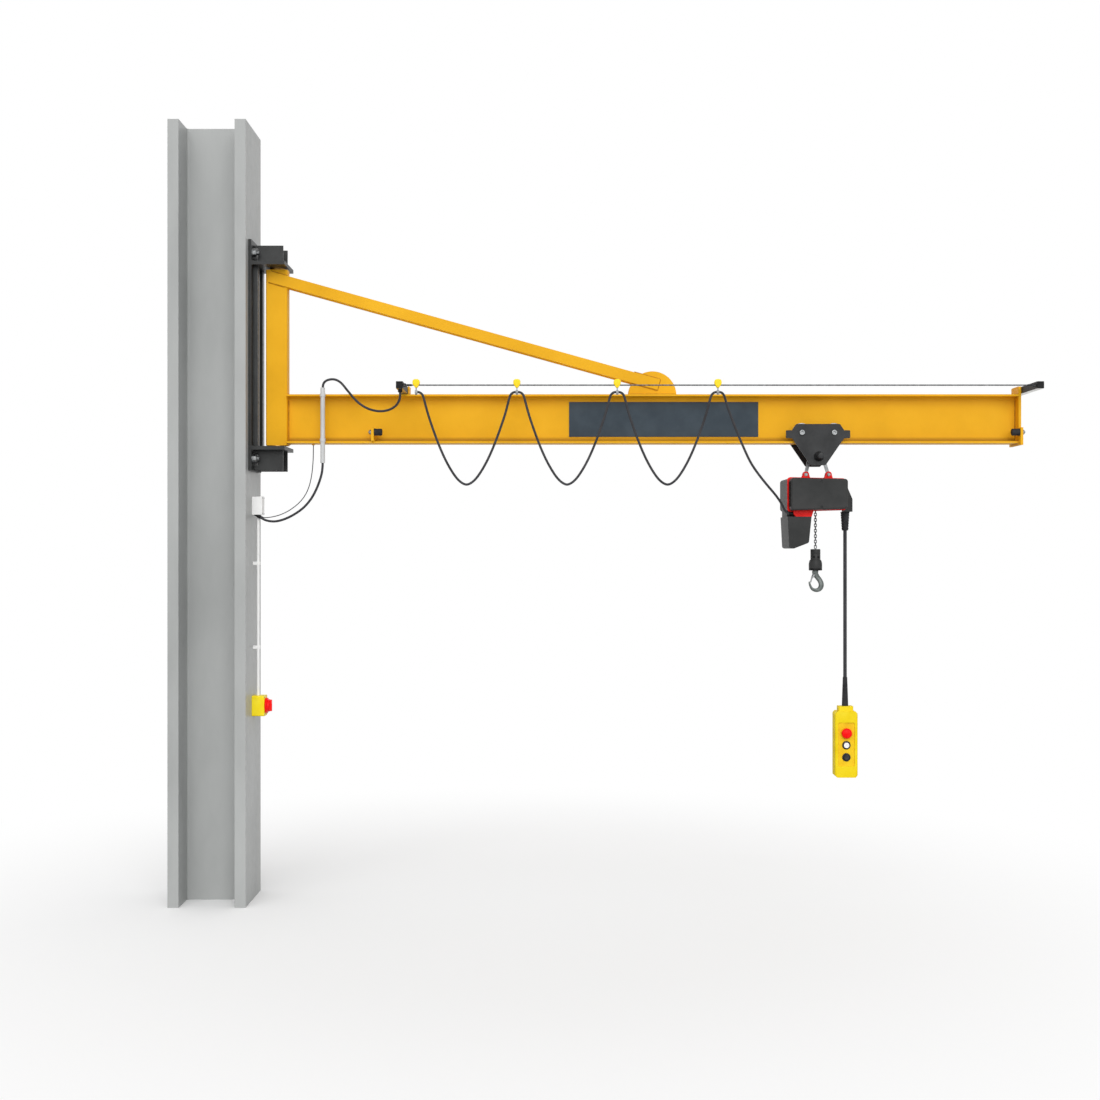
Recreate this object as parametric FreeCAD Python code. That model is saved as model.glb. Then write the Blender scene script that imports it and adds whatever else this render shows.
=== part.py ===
import FreeCAD, Part
import math
import os

# Slewing jib crane carried by a steel H column, with an electric chain hoist on a trolley.
# Millimetres. X runs along the jib, Y runs away from the front, Z is up.
# The origin is the centre of the column's foot.

V = FreeCAD.Vector
X_AXIS = V(1, 0, 0)
Y_AXIS = V(0, 1, 0)
Z_AXIS = V(0, 0, 1)

# Column, a heavy H section
COLUMN_DEPTH = 425.0
COLUMN_WIDTH = 432.0
COLUMN_FLANGE = 60.0
COLUMN_WEB = 36.0
COLUMN_ROOT = 15.0
COLUMN_HEIGHT = 4290.0

# Console bolted to the column's face
CONSOLE_PLATE = 17.5
CONSOLE_WIDTH = 290.0
CONSOLE_BOTTOM = 2383.0
CONSOLE_TOP = 3651.0
CONSOLE_RIB_PROUD = 26.0
CONSOLE_RIB_WIDTH = 50.0
CONSOLE_RIB_SPACING = 140.0
SHELF_THICK = 20.0
SHELF_REACH = 63.0
LOWER_SHELF_TOP = 2517.0
UPPER_SHELF_BOTTOM = 3513.0
CHEEK_THICK = 12.0
CHEEK_SPACING = 140.0
CHEEK_REACH = 43.0
LOWER_CHEEK_DEPTH = 111.0
UPPER_CHEEK_DEPTH = 96.0
NOTCH_WIDTH = 24.0
NOTCH_HEIGHT = 70.0
NOTCH_FROM_SHELF = 14.0
ANCHOR_BOLT_R = 12.0
ANCHOR_NUT_AF = 36.0
ANCHOR_NUT_HIGH = 20.0
ANCHOR_STUD_PROUD = 14.0
ANCHOR_WASHER_R = 22.0
ANCHOR_WASHER = 4.0
ANCHOR_SPACING = 230.0
ANCHOR_FROM_SHELF = 47.0

# Slewing axis, post and bearings
AXIS_FROM_FACE = 136.5
POST_X = 120.0
POST_Y = 80.0
POST_WALL = 8.0
POST_CORNER = 9.0
POST_INNER_CORNER = 5.0
POST_CAP = 12.0
BEARING_GAP = 10.0
PIN_R = 25.0
PIN_PROUD = 8.0
BUSH_WALL = 6.0
BUSH_FLANGE = 12.0
RUNNING_CLEARANCE = 0.08
FACE_CLEARANCE = 0.3

# Jib beam, an I section
BEAM_BOTTOM = 2538.0
BEAM_HEIGHT = 270.0
BEAM_WIDTH = 135.0
BEAM_FLANGE = 10.2
BEAM_WEB = 6.6
BEAM_ROOT = 15.0
BEAM_REACH = 4112.0
END_PLATE = 14.0
END_PLATE_BELOW = 12.0
END_PLATE_ABOVE = 44.0
END_PLATE_CORNER = 8.0

# Tie between the post's head and the beam
TIE_DEPTH = 60.0
TIE_THICK = 8.0
TIE_TOP_FROM_AXIS = -40.0
TIE_TOP_Z = 3463.5
TIE_FOOT_FROM_AXIS = 2122.0
TIE_FOOT_Z = 2863.5
GUSSET_FROM_AXIS = 2087.0
GUSSET_R = 133.0
GUSSET_HIGH = 130.0
GUSSET_THICK = 12.0

# Stops, buffers and the bare panel on the web
STOP_FROM_AXIS = 532.0
STOP_THICK = 15.0
STOP_HIGH = 72.8
BUFFER_R = 19.5
BUFFER_LONG = 45.0
BUFFER_CHAMFER = 4.0
BUFFER_STUD_R = 6.0
BUFFER_STUD_PROUD = 4.0
BUFFER_SIDE = 2.0
PLATE_OVER_BUFFER = 6.0
BUFFER_Z = 2597.0
BUFFER_Y = 84.0
BUFFER_NUT_AF = 24.0
BUFFER_NUT_HIGH = 12.0
PANEL_FROM_AXIS = 1625.0
PANEL_LONG = 1054.0
PANEL_HIGH = 194.0
PANEL_THICK = 4.0
PANEL_BOTTOM = 2577.0

# Festoon: two bars across the beam, a taut wire, gliders and cable loops
CABLE_BAR_WIDE = 36.0
CABLE_BAR_HIGH = 38.0
CABLE_BAR_WALL = 3.0
CABLE_BAR_REACH = 345.0
CABLE_BAR_BACK = 60.0
CABLE_BAR_CAP = 4.0
CABLE_BAR_FOOT = 3.0
CABLE_BAR_FOOT_IN = 6.0
CABLE_BAR_CORNER = 4.0
INNER_BAR_FROM_AXIS = 694.0
OUTER_BAR_FROM_AXIS = 4126.0
BRACKET_WIDE = 90.0
BRACKET_THICK = 8.0
BRACKET_HIGH = 46.0
WIRE_R = 3.0
WIRE_Y = -330.0
WIRE_ABOVE_BEAM = 22.0
WIRE_EYE_R = 10.0
WIRE_EYE_LONG = 16.0
FESTOON_R = 6.5
GLIDER_HEAD = 24.0
GLIDER_WIDE = 39.0
GLIDER_POINT = 10.0
GLIDER_TOP = 32.0
GLIDER_SHOULDER = 12.0
GLIDER_LOW = -14.5
GLIDER_THICK = 24.0
GLIDER_STEM_R = 3.0
GLIDER_BORE_R = 5.0
CLIP_Z = 2793.0
CLIP_LONG = 14.0
CLIP_WIDE = 20.0
CLIP_UP = 9.0
CLIP_DOWN = 15.0
CLIP_GAP = 0.5
GLIDER_X = (1150.0, 1690.0, 2228.0, 2768.0)

# Conduit tube on the beam's front
TUBE_R = 12.5
TUBE_WALL = 1.5
TUBE_FROM_AXIS = 263.5
TUBE_BOTTOM = 2430.0
TUBE_TOP = 2838.0
TUBE_CLAMP_HIGH = 18.0
TUBE_CLAMP_WALL = 3.0
TUBE_CLAMP_HALF = 10.0
TUBE_CLAMP_HOLD = 12.0
TUBE_CLAMP_UNDER = 6.0
LOWER_CLAMP_DROP = 4.0
TUBE_FROM_FLANGE = 6.0
GROMMET_FLANGE = 4.0
GROMMET_SPIGOT = 10.0
GROMMET_GAP = 0.3

# Junction box, pipe and isolator on the column's face
BOX_OUT = 55.0
BOX_WIDE = 72.0
BOX_BOTTOM = 2141.0
BOX_TOP = 2244.0
BOX_LID = 14.0
BOX_LID_PROUD = 1.5
BOX_CORNER = 5.0
PIPE_R = 8.0
PIPE_FROM_FACE = 27.5
PIPE_SADDLE_FROM_END = 260.0
PIPE_SADDLE_HIGH = 18.0
PIPE_SADDLE_WALL = 3.0
ISOLATOR_OUT = 69.0
ISOLATOR_WIDE = 90.0
ISOLATOR_BOTTOM = 1023.0
ISOLATOR_TOP = 1136.0
ISOLATOR_CORNER = 7.0
KNOB_RING_R = 43.0
KNOB_RING = 12.0
KNOB_R = 34.0
KNOB_OUT = 23.0
KNOB_GRIP = 18.0
KNOB_GRIP_PROUD = 10.0
KNOB_GRIP_IN = 2.0
SPINDLE_R = 8.0
SPINDLE_DEEP = 14.0

# Trolley
TROLLEY_X = 3348.0
PLATE_GAP = 160.0
PLATE_THICK = 8.0
WHEEL_SPACING = 178.0
WHEEL_R = 46.5
WHEEL_FLANGE_R = 53.0
WHEEL_FLANGE_THICK = 6.0
WHEEL_FLANGE_SLOPE = 1.5
WHEEL_END_PLAY = 0.5
WHEEL_INNER_Y = 30.0
WHEEL_OUTER_Y = 76.0
FLANGE_SIDE_GAP = 2.0
AXLE_R = 14.5
AXLE_HEAD_PROUD = 10.0
AXLE_WASHER_R = 20.0
AXLE_WASHER = 3.0
CROSS_BOLT_R = 16.5
CROSS_BOLT_X = 4.0
CROSS_BOLT_Z = 2463.0
CROSS_BOLT_FRONT = 77.0
CROSS_BOLT_BACK = 18.0
CROSS_BOLT_CAP_R = 17.5
CROSS_BOLT_CAP = 8.0
CROSS_BOLT_DOME = 3.0
CROSS_NUT_AF = 46.0
CROSS_NUT = 14.0
PLATE_CORNER = 10.0
PLATE_FOOT_CORNER = 14.0
PLATE_EAR_CORNER = 4.0
# Right half of the side plate's outline: head, bumper ear and tapered foot, from the trolley's centre
PLATE_HALF = (
    (121.0, 2642.0), (143.5, 2607.0), (177.0, 2607.0), (177.0, 2564.0), (143.5, 2563.0), (41.0, 2414.0),
)
YOKE_LONG = 92.0
YOKE_HIGH = 44.0
YOKE_WIDE = 50.0
ROD_WIDE = 18.0
ROD_THICK = 12.0
LEFT_LUG_X = -54.5
RIGHT_LUG_X = 71.5
LUG_PIN_Z = 2366.5
LUG_PIN_R = 7.5
LUG_TOP_R = 17.5
LUG_BASE = 50.0
LUG_THICK = 8.0
LUG_PIN_PROUD = 6.0
ROD_EYE_R = 15.5

# Hoist
HOIST_LEFT = -160.0
HOIST_RIGHT = 152.0
HOIST_BOTTOM = 2163.0
HOIST_TOP = 2343.0
HOIST_BOTTOM_RISE = 9.0
HOIST_TOP_FALL = 7.0
HOIST_CORNER = 17.0
COVER_SOFT = 9.0
COVER_SCREW_R = 6.5
COVER_SCREW_X = 7.0
COVER_SCREW_IN = 15.0
COVER_SCREW_DEEP = 5.0
HOIST_FRONT_Y = -160.0
HOIST_BACK_Y = 190.0
FRAME_THICK = 64.0
FRAME_PROUD = 3.0
BACK_COVER_EXTRA = 10.0
GUIDE_LEFT = -139.0
GUIDE_RIGHT = -27.0
GUIDE_DEEP = 34.0
GUIDE_SLOPE = 12.0
GUIDE_CORNER = 14.0
GUIDE_FRONT_Y = -110.0
GUIDE_BACK_Y = 60.0
SHAFT_CLEARANCE = 0.5
SHAFT_DEEP = 60.0
SHAFT_END_GAP = 6.0
CONTAINER_LEFT = -172.0
CONTAINER_RIGHT = -40.0
CONTAINER_BOTTOM = 1954.0
CONTAINER_FRONT_Y = -110.0
CONTAINER_BACK_Y = 150.0
CONTAINER_RISE = 32.0
CONTAINER_LEFT_TAPER = 9.0
CONTAINER_RIGHT_TAPER = 14.5
CONTAINER_FLAT = 26.0
CONTAINER_CORNER = 14.0
GLAND_R = 9.0
GLAND_LONG = 24.0
GLAND_Y = -95.0
GLAND_Z = 2146.0

# Load chain, hook block, hook and latch
CHAIN_WIRE = 5.0
CHAIN_PITCH = 15.0
CHAIN_INNER_WIDTH = 7.0
CHAIN_GAP = 0.1
BLOCK_TOP = 1951.0
BLOCK_R = 27.5
SLEEVE_HIGH = 60.0
SLEEVE_CHAMFER = 2.0
BELL_HIGH = 59.0
BELL_TOP_R = 32.0
BELL_SLOPE = 20.0
BELL_R = 37.0
BELL_FLOOR = 12.0
SHANK_R = 17.0
SHANK_GAP = 1.3
COLLAR_WALL = 5.0
COLLAR_GAP = 1.0
HOOK_COLLAR = 11.0
HOOK_THICK = 0.88
LATCH_SHEET = 2.0
LATCH_GAP = 0.5
LATCH_PIN_R = 3.0
LATCH_PIN_PROUD = 1.0
LATCH_BOSS_WALL = 2.5
# Centreline of the forged hook from its neck round to its tip, from the block's axis and underside,
# and the width of its section in the hook's own plane at each point
HOOK_LINE = (
    (-2.0, -4.0, 34.0), (-1.5, -12.0, 33.5), (3.0, -26.0, 30.5), (13.0, -40.0, 28.5), (23.5, -54.0, 28.0),
    (31.0, -70.0, 28.5), (32.0, -86.0, 28.5), (25.0, -101.0, 26.5), (11.0, -109.5, 22.5),
    (-5.0, -109.5, 18.5), (-18.5, -102.5, 15.5), (-27.0, -89.5, 13.0), (-32.0, -75.0, 11.5),
    (-34.0, -63.0, 9.0),
)
HOOK_SKEW = 0.22
HOOK_SKEW_STATIONS = 3
LATCH_PIN = (-10.0, -24.0)
LATCH_HIGH = (-21.0, -39.0)
LATCH_LOW = (-27.5, -66.0)
LATCH_EAR = ((-19.0, -47.0), (-6.5, -30.0), (-14.0, -19.5))

# Pendant
PENDANT_X = 165.0
INLET_HIGH = 150.0
INLET_WIDE = 90.0
INLET_BOTTOM = 2159.0
INLET_LOW_OUT = 46.0
INLET_LOW_HIGH = 70.0
INLET_TOP_OUT = 12.0
BOOT_TOP_R = 25.0
BOOT_TIP_R = 18.5
BOOT_LONG = 104.0
BOOT_GROOVE = 2.0
BOOT_RIB_SHARE = 0.62
UPPER_BOOT_RIBS = 4
LOWER_BOOT_RIBS = 5
PENDANT_CABLE_R = 10.0
LOWER_BOOT_TOP = 1239.0
LOWER_BOOT_R = 14.5
COLLAR_TOP = 1077.0
COLLAR_WIDE = 83.0
COLLAR_IN = 12.0
COLLAR_CORNER = 10.0
PENDANT_TOP = 1050.0
PENDANT_BOTTOM = 682.0
PENDANT_WIDE = 128.0
PENDANT_DEEP = 87.0
PENDANT_CORNER = 12.0
PENDANT_CHAMFER = 14.0
RECESS_WIDE = 92.0
RECESS_TOP = 987.0
RECESS_BOTTOM = 745.0
RECESS_DEEP = 6.0
RECESS_CORNER = 8.0
STOP_BUTTON_R = 28.5
STOP_BUTTON_Z = 929.0
UP_BUTTON_Z = 862.0
DOWN_BUTTON_Z = 795.0
BUTTON_R = 15.0
STOP_STEM_R = 18.0
COLLAR_R = 22.0
COLLAR_PROUD = 6.0
BUTTON_PROUD = 8.0
STOP_PROUD = 22.0
STOP_HEAD = 13.0
BUTTON_TRAVEL = 4.0
BUTTON_WELL = 14.0
BUTTON_GAP = 0.5
BUTTON_CHAMFER = 1.5
BUTTON_PLAY = 1.0
# Dome of the stop button: share of its radius and distance from its front
STOP_DOME = ((0.0, 0.0), (0.7, 0.8), (0.92, 3.0), (1.0, 7.0), (1.0, STOP_HEAD))

# Routes of the cables, chosen by hand; the loops between gliders are drawn once and moved
LOOP_HALF = (
    (0.0, 0.0), (14.0, 0.0), (27.0, -6.6), (36.0, -18.0), (41.0, -34.0), (48.5, -64.0),
    (64.0, -122.0), (88.0, -193.0), (118.0, -276.0), (152.0, -355.0), (186.0, -418.0),
    (222.0, -470.0), (257.0, -496.0),
)
LAST_SPAN = (
    (2768.0, WIRE_Y, CLIP_Z), (2782.0, WIRE_Y, CLIP_Z), (2795.0, WIRE_Y, 2786.4),
    (2804.0, -329.0, 2775.0), (2809.5, -327.5, 2759.0), (2819.0, -324.0, 2727.0),
    (2842.0, -317.0, 2664.0), (2877.0, -304.0, 2577.0), (2914.0, -290.0, 2495.0),
    (2951.0, -274.0, 2418.0), (2993.0, -252.0, 2348.0), (3038.0, -222.0, 2284.0),
    (3080.0, -180.0, 2236.0), (3113.0, -140.0, 2196.0), (3136.0, -110.0, 2166.0),
    (3158.0, GLAND_Y, GLAND_Z), (3185.0, GLAND_Y, GLAND_Z),
)
FEED_ROUTE = (
    (612.5, -86.0, 2828.0), (612.5, -86.0, 2858.0), (625.0, -87.0, 2878.0),
    (653.0, -89.0, 2889.0), (687.0, -93.0, 2887.0), (718.0, -105.0, 2867.0),
    (745.0, -122.0, 2834.0), (776.0, -142.0, 2797.0), (808.0, -162.0, 2761.0),
    (846.0, -185.0, 2731.0), (893.0, -208.0, 2708.0), (946.0, -233.0, 2697.0),
    (996.0, -258.0, 2702.0), (1036.0, -280.0, 2722.0), (1057.0, -295.0, 2752.0),
    (1061.0, -300.0, 2776.0), (1061.0, -300.0, 2801.0),
)
SUPPLY_ROUTE = (
    (612.5, -86.0, 2440.0), (612.5, -86.0, 2391.0), (598.0, -82.0, 2335.0),
    (575.0, -76.0, 2278.0), (545.0, -68.0, 2226.0), (503.0, -58.0, 2179.0),
    (450.0, -47.0, 2143.0), (395.0, -36.0, 2117.0), (345.0, -28.0, 2104.0),
    (304.0, -23.0, 2106.0), (270.0, -22.0, 2117.3), (242.6, -22.0, 2136.5),
)
EARTH_ROUTE = (
    (544.0, 24.0, 2532.0), (544.0, 24.0, 2484.0), (541.5, 24.0, 2427.0),
    (535.0, 24.0, 2363.0), (521.0, 23.0, 2300.0), (498.0, 22.0, 2249.0),
    (466.0, 21.0, 2210.0), (430.0, 20.0, 2180.0), (388.0, 19.0, 2154.0),
    (344.0, 18.0, 2137.0), (300.0, 18.0, 2128.0), (264.0, 18.0, 2125.7),
    (244.1, 18.0, 2139.6),
)
CABLE_SIDES = 8
SUPPLY_NIPPLE = (9.5, 27.0, 10.5)
EARTH_NIPPLE = (4.5, 16.0, 5.0)
NIPPLE_GAP = 0.4
FEED_GLAND_R = 12.0
FEED_GLAND_LONG = 16.0
EARTH_BOSS_R = 8.0
EARTH_BOSS = 6.0
SUPPLY_R = 6.5
EARTH_R = 2.5
FEED_R = 6.5

# Places worked out from the sizes above
FACE_X = COLUMN_DEPTH / 2
PLATE_X = FACE_X + CONSOLE_PLATE
SLEW_X = FACE_X + AXIS_FROM_FACE
POST_BOTTOM = LOWER_SHELF_TOP + BEARING_GAP
POST_TOP = UPPER_SHELF_BOTTOM - BEARING_GAP
BEAM_START = SLEW_X + POST_X / 2
BEAM_END = SLEW_X + BEAM_REACH
BEAM_TOP = BEAM_BOTTOM + BEAM_HEIGHT
LOWER_FLANGE_TOP = BEAM_BOTTOM + BEAM_FLANGE
WIRE_Z = BEAM_TOP + WIRE_ABOVE_BEAM
AXLE_Z = LOWER_FLANGE_TOP + FACE_CLEARANCE + WHEEL_R
CHAIN_TOP = HOIST_BOTTOM + 1
GUIDE_BOTTOM = CHAIN_TOP - GUIDE_DEEP
BLOCK_SPLIT = BLOCK_TOP - SLEEVE_HIGH
BLOCK_BOTTOM = BLOCK_SPLIT - BELL_HIGH
HOOK_X = TROLLEY_X
PENDANT_PLACE = TROLLEY_X + PENDANT_X


def block(x0, x1, y0, y1, z0, z1):
    """Box between opposite corners."""
    return Part.makeBox(x1 - x0, y1 - y0, z1 - z0, V(x0, y0, z0))


def rod(radius, start, direction, length):
    """Round bar from a point along a direction."""
    return Part.makeCylinder(radius, length, start, direction)


def prism(points, direction):
    """Closed flat outline of points carried along a vector."""
    wire = Part.makePolygon(list(points) + [points[0]])
    return Part.Face(wire).extrude(direction)


def corners_round(sides, radius, centre, direction):
    """Corners of a regular polygon square to a direction."""
    side = direction.cross(Z_AXIS if abs(direction.z) < 0.5 else X_AXIS)
    side.normalize()
    up = side.cross(direction)
    up.normalize()
    angles = [2 * math.pi * step / sides for step in range(sides)]
    return [centre + side * (radius * math.cos(angle)) + up * (radius * math.sin(angle)) for angle in angles]


def hexagon(flats, start, direction, length):
    """Hexagonal bar of a given width across its flats."""
    return prism(corners_round(6, flats / math.sqrt(3), start, direction), direction * length)


def revolved(profile, base, axis=Z_AXIS):
    """Profile of (radius, distance along the axis) turned once round a vertical axis."""
    points = [V(r, 0, h) for r, h in profile]
    solid = Part.Face(Part.makePolygon(points + [points[0]])).revolve(V(0, 0, 0), Z_AXIS, 360)
    solid.Placement = FreeCAD.Placement(base, FreeCAD.Rotation(Z_AXIS, axis))
    return solid


def rounded_edges(solid, radius, wanted):
    """Fillet the edges for which wanted(edge) is true."""
    return solid.makeFillet(radius, [edge for edge in solid.Edges if wanted(edge)])


def along(edge, axis):
    """True where a straight edge runs along an axis."""
    if not isinstance(edge.Curve, Part.Line):
        return False
    return abs(edge.tangentAt(edge.FirstParameter).dot(axis)) > 0.999


def cable(points, radius, name):
    """Eight-sided bar along straight runs joined by tangent arcs, each as large as its two runs allow."""
    points = [V(*point) for point in points]
    edges = []
    start = points[0]
    radii = []
    for before, corner, after in zip(points, points[1:], points[2:]):
        back = before - corner
        ahead = after - corner
        reach = 0.45 * min(back.Length, ahead.Length)
        back.normalize()
        ahead.normalize()
        half = (math.pi - back.getAngle(ahead)) / 2
        bend = reach / math.tan(half)
        radii.append(bend)
        inward = back + ahead
        inward.normalize()
        middle = corner + inward * (bend / math.cos(half) - bend)
        edges.append(Part.LineSegment(start, corner + back * reach).toShape())
        edges.append(Part.Arc(corner + back * reach, middle, corner + ahead * reach).toShape())
        start = corner + ahead * reach
    edges.append(Part.LineSegment(start, points[-1]).toShape())
    path = Part.Wire(edges)
    first = points[1] - points[0]
    first.normalize()
    ring = corners_round(CABLE_SIDES, radius, points[0], first)
    tube = path.makePipeShell([Part.makePolygon(ring + [ring[0]])], True, False)
    print(f"{name}: length {path.Length:.0f}, smallest radius {min(radii):.0f}")
    return tube


def column():
    """H section with root fillets, standing on the floor."""
    half_x = COLUMN_DEPTH / 2
    half_y = COLUMN_WIDTH / 2
    inner = half_x - COLUMN_FLANGE
    solid = block(-half_x, -inner, -half_y, half_y, 0, COLUMN_HEIGHT)
    solid = solid.fuse(block(inner, half_x, -half_y, half_y, 0, COLUMN_HEIGHT))
    solid = solid.fuse(block(-inner, inner, -COLUMN_WEB / 2, COLUMN_WEB / 2, 0, COLUMN_HEIGHT))
    solid = solid.removeSplitter()

    def at_root(edge):
        middle = edge.CenterOfMass
        return along(edge, Z_AXIS) and abs(abs(middle.x) - inner) < 1 and abs(middle.y) < COLUMN_WEB

    return rounded_edges(solid, COLUMN_ROOT, at_root)


def cheek(y, low, high, notch_low):
    """Upright plate between the back plate and a shelf, notched beside the anchor nut."""
    plate = block(PLATE_X, SLEW_X + CHEEK_REACH, y - CHEEK_THICK / 2, y + CHEEK_THICK / 2, low, high)
    notch = block(PLATE_X, PLATE_X + NOTCH_WIDTH, y - CHEEK_THICK, y + CHEEK_THICK,
                  notch_low, notch_low + NOTCH_HEIGHT)
    notch = rounded_edges(notch, NOTCH_WIDTH / 3,
                          lambda edge: along(edge, Y_AXIS) and edge.CenterOfMass.x > PLATE_X + 1)
    return plate.cut(notch)


def console():
    """Back plate, two ribs, two bearing shelves and their cheeks, welded into one piece."""
    half = CONSOLE_WIDTH / 2
    upper_top = UPPER_SHELF_BOTTOM + SHELF_THICK
    lower_bottom = LOWER_SHELF_TOP - SHELF_THICK
    plate = block(FACE_X, PLATE_X, -half, half, CONSOLE_BOTTOM, CONSOLE_TOP)
    parts = []
    for side in (-1, 1):
        y = side * CONSOLE_RIB_SPACING / 2
        parts.append(block(PLATE_X, PLATE_X + CONSOLE_RIB_PROUD, y - CONSOLE_RIB_WIDTH / 2,
                           y + CONSOLE_RIB_WIDTH / 2, LOWER_SHELF_TOP, UPPER_SHELF_BOTTOM))
        y = side * CHEEK_SPACING / 2
        low = lower_bottom - LOWER_CHEEK_DEPTH
        parts.append(cheek(y, low, lower_bottom, lower_bottom - NOTCH_HEIGHT - NOTCH_FROM_SHELF))
        parts.append(cheek(y, upper_top, upper_top + UPPER_CHEEK_DEPTH, upper_top + NOTCH_FROM_SHELF))
    for low in (lower_bottom, UPPER_SHELF_BOTTOM):
        shelf = block(PLATE_X, SLEW_X + SHELF_REACH, -half, half, low, low + SHELF_THICK)
        parts.append(shelf.cut(rod(PIN_R + BUSH_WALL, V(SLEW_X, 0, low), Z_AXIS, SHELF_THICK)))
    solid = plate.fuse(parts).removeSplitter()
    for y, z in anchor_places():
        solid = solid.cut(rod(ANCHOR_BOLT_R, V(FACE_X, y, z), X_AXIS, CONSOLE_PLATE))
    return solid


def anchor_places():
    """Y and Z of the anchor bolts, one pair beside each shelf."""
    low = LOWER_SHELF_TOP - SHELF_THICK - ANCHOR_FROM_SHELF
    high = UPPER_SHELF_BOTTOM + SHELF_THICK + ANCHOR_FROM_SHELF
    return [(side * ANCHOR_SPACING / 2, z) for z in (low, high) for side in (-1, 1)]


def console_bolts():
    """Studs through the back plate with a washer and a nut each."""
    studs = []
    for y, z in anchor_places():
        stud = rod(ANCHOR_BOLT_R, V(FACE_X, y, z), X_AXIS,
                   CONSOLE_PLATE + ANCHOR_NUT_HIGH + ANCHOR_STUD_PROUD)
        stud = stud.fuse(rod(ANCHOR_WASHER_R, V(PLATE_X, y, z), X_AXIS, ANCHOR_WASHER))
        nut = hexagon(ANCHOR_NUT_AF, V(PLATE_X + ANCHOR_WASHER, y, z), X_AXIS, ANCHOR_NUT_HIGH)
        studs.append(stud.fuse(nut).removeSplitter())
    return Part.makeCompound(studs)


def bearing_bushes():
    """Flanged bushes: one in each shelf, with the flange between the shelf and the post."""
    outer = PIN_R + BUSH_WALL
    inner = PIN_R + RUNNING_CLEARANCE
    flange = outer + BUSH_FLANGE
    thick = BEARING_GAP - FACE_CLEARANCE
    profile = [(inner, -SHELF_THICK), (outer, -SHELF_THICK), (outer, 0), (flange, 0),
               (flange, thick), (inner, thick)]
    lower = revolved(profile, V(SLEW_X, 0, LOWER_SHELF_TOP))
    upper = revolved(profile, V(SLEW_X, 0, UPPER_SHELF_BOTTOM), V(0, 0, -1))
    return Part.makeCompound([lower, upper])


def junction_box():
    """Closed white box with rounded edges and a lid that stands a little proud."""
    half = BOX_WIDE / 2
    seam = FACE_X + BOX_OUT - BOX_LID
    body = block(FACE_X, seam, BOX_LID_PROUD - half, half - BOX_LID_PROUD, box_underside(),
                 BOX_TOP - BOX_LID_PROUD)
    lid = block(seam, FACE_X + BOX_OUT, -half, half, BOX_BOTTOM, BOX_TOP)
    lid = rounded_edges(lid, BOX_CORNER, lambda edge: along(edge, X_AXIS))
    return body.fuse(lid)


def box_underside():
    return BOX_BOTTOM + BOX_LID_PROUD


def cable_nipple(route, radius, nipple):
    """Slanted nipple cut flat against the box's underside, bored for the cable that ends in it."""
    outer, long, seat = nipple
    end = V(*route[-1])
    run = V(*route[-2]) - end
    run.normalize()
    top = end - run * seat
    body = rod(outer, top - run * outer, run, outer + long)
    body = body.cut(rod(radius + NIPPLE_GAP, end, run, 2 * long))
    reach = 3 * long
    return body.common(block(top.x - reach, top.x + reach, top.y - reach, top.y + reach,
                             box_underside() - reach, box_underside()))


def cable_glands():
    """Nipples under the junction box for the supply cable and the earth wire."""
    return Part.makeCompound([
        cable_nipple(SUPPLY_ROUTE, SUPPLY_R, SUPPLY_NIPPLE),
        cable_nipple(EARTH_ROUTE, EARTH_R, EARTH_NIPPLE),
    ])


def feed_gland():
    """Gland under the inner bar, bored for the end of the feed cable."""
    x, y, z = FEED_ROUTE[-1]
    top = bar_bottom()
    body = rod(FEED_GLAND_R, V(x, y, top - FEED_GLAND_LONG), Z_AXIS, FEED_GLAND_LONG)
    return body.cut(rod(FEED_R + GROMMET_GAP, V(x, y, z - FEED_GLAND_LONG), Z_AXIS, FEED_GLAND_LONG))


def service_pipe():
    """Straight pipe from the isolator up to the junction box, with two saddles."""
    x = FACE_X + PIPE_FROM_FACE
    pipe = rod(PIPE_R, V(x, 0, ISOLATOR_TOP), Z_AXIS, box_underside() - ISOLATOR_TOP)
    outer = PIPE_R + PIPE_SADDLE_WALL
    for low in (ISOLATOR_TOP + PIPE_SADDLE_FROM_END, BOX_BOTTOM - PIPE_SADDLE_FROM_END - PIPE_SADDLE_HIGH):
        pipe = pipe.fuse(block(FACE_X, x, -outer, outer, low, low + PIPE_SADDLE_HIGH))
        pipe = pipe.fuse(rod(outer, V(x, 0, low), Z_AXIS, PIPE_SADDLE_HIGH))
    return pipe.removeSplitter()


def knob_z():
    return (ISOLATOR_BOTTOM + ISOLATOR_TOP) / 2


def isolator_box():
    """Isolator enclosure with a blind hole for the knob's spindle."""
    half = ISOLATOR_WIDE / 2
    body = block(FACE_X, FACE_X + ISOLATOR_OUT, -half, half, ISOLATOR_BOTTOM, ISOLATOR_TOP)
    body = rounded_edges(body, ISOLATOR_CORNER, lambda edge: along(edge, X_AXIS))
    spindle_start = V(FACE_X + ISOLATOR_OUT - SPINDLE_DEEP - 1, 0, knob_z())
    return body.cut(rod(SPINDLE_R + RUNNING_CLEARANCE, spindle_start, X_AXIS, SPINDLE_DEEP + 1))


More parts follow.
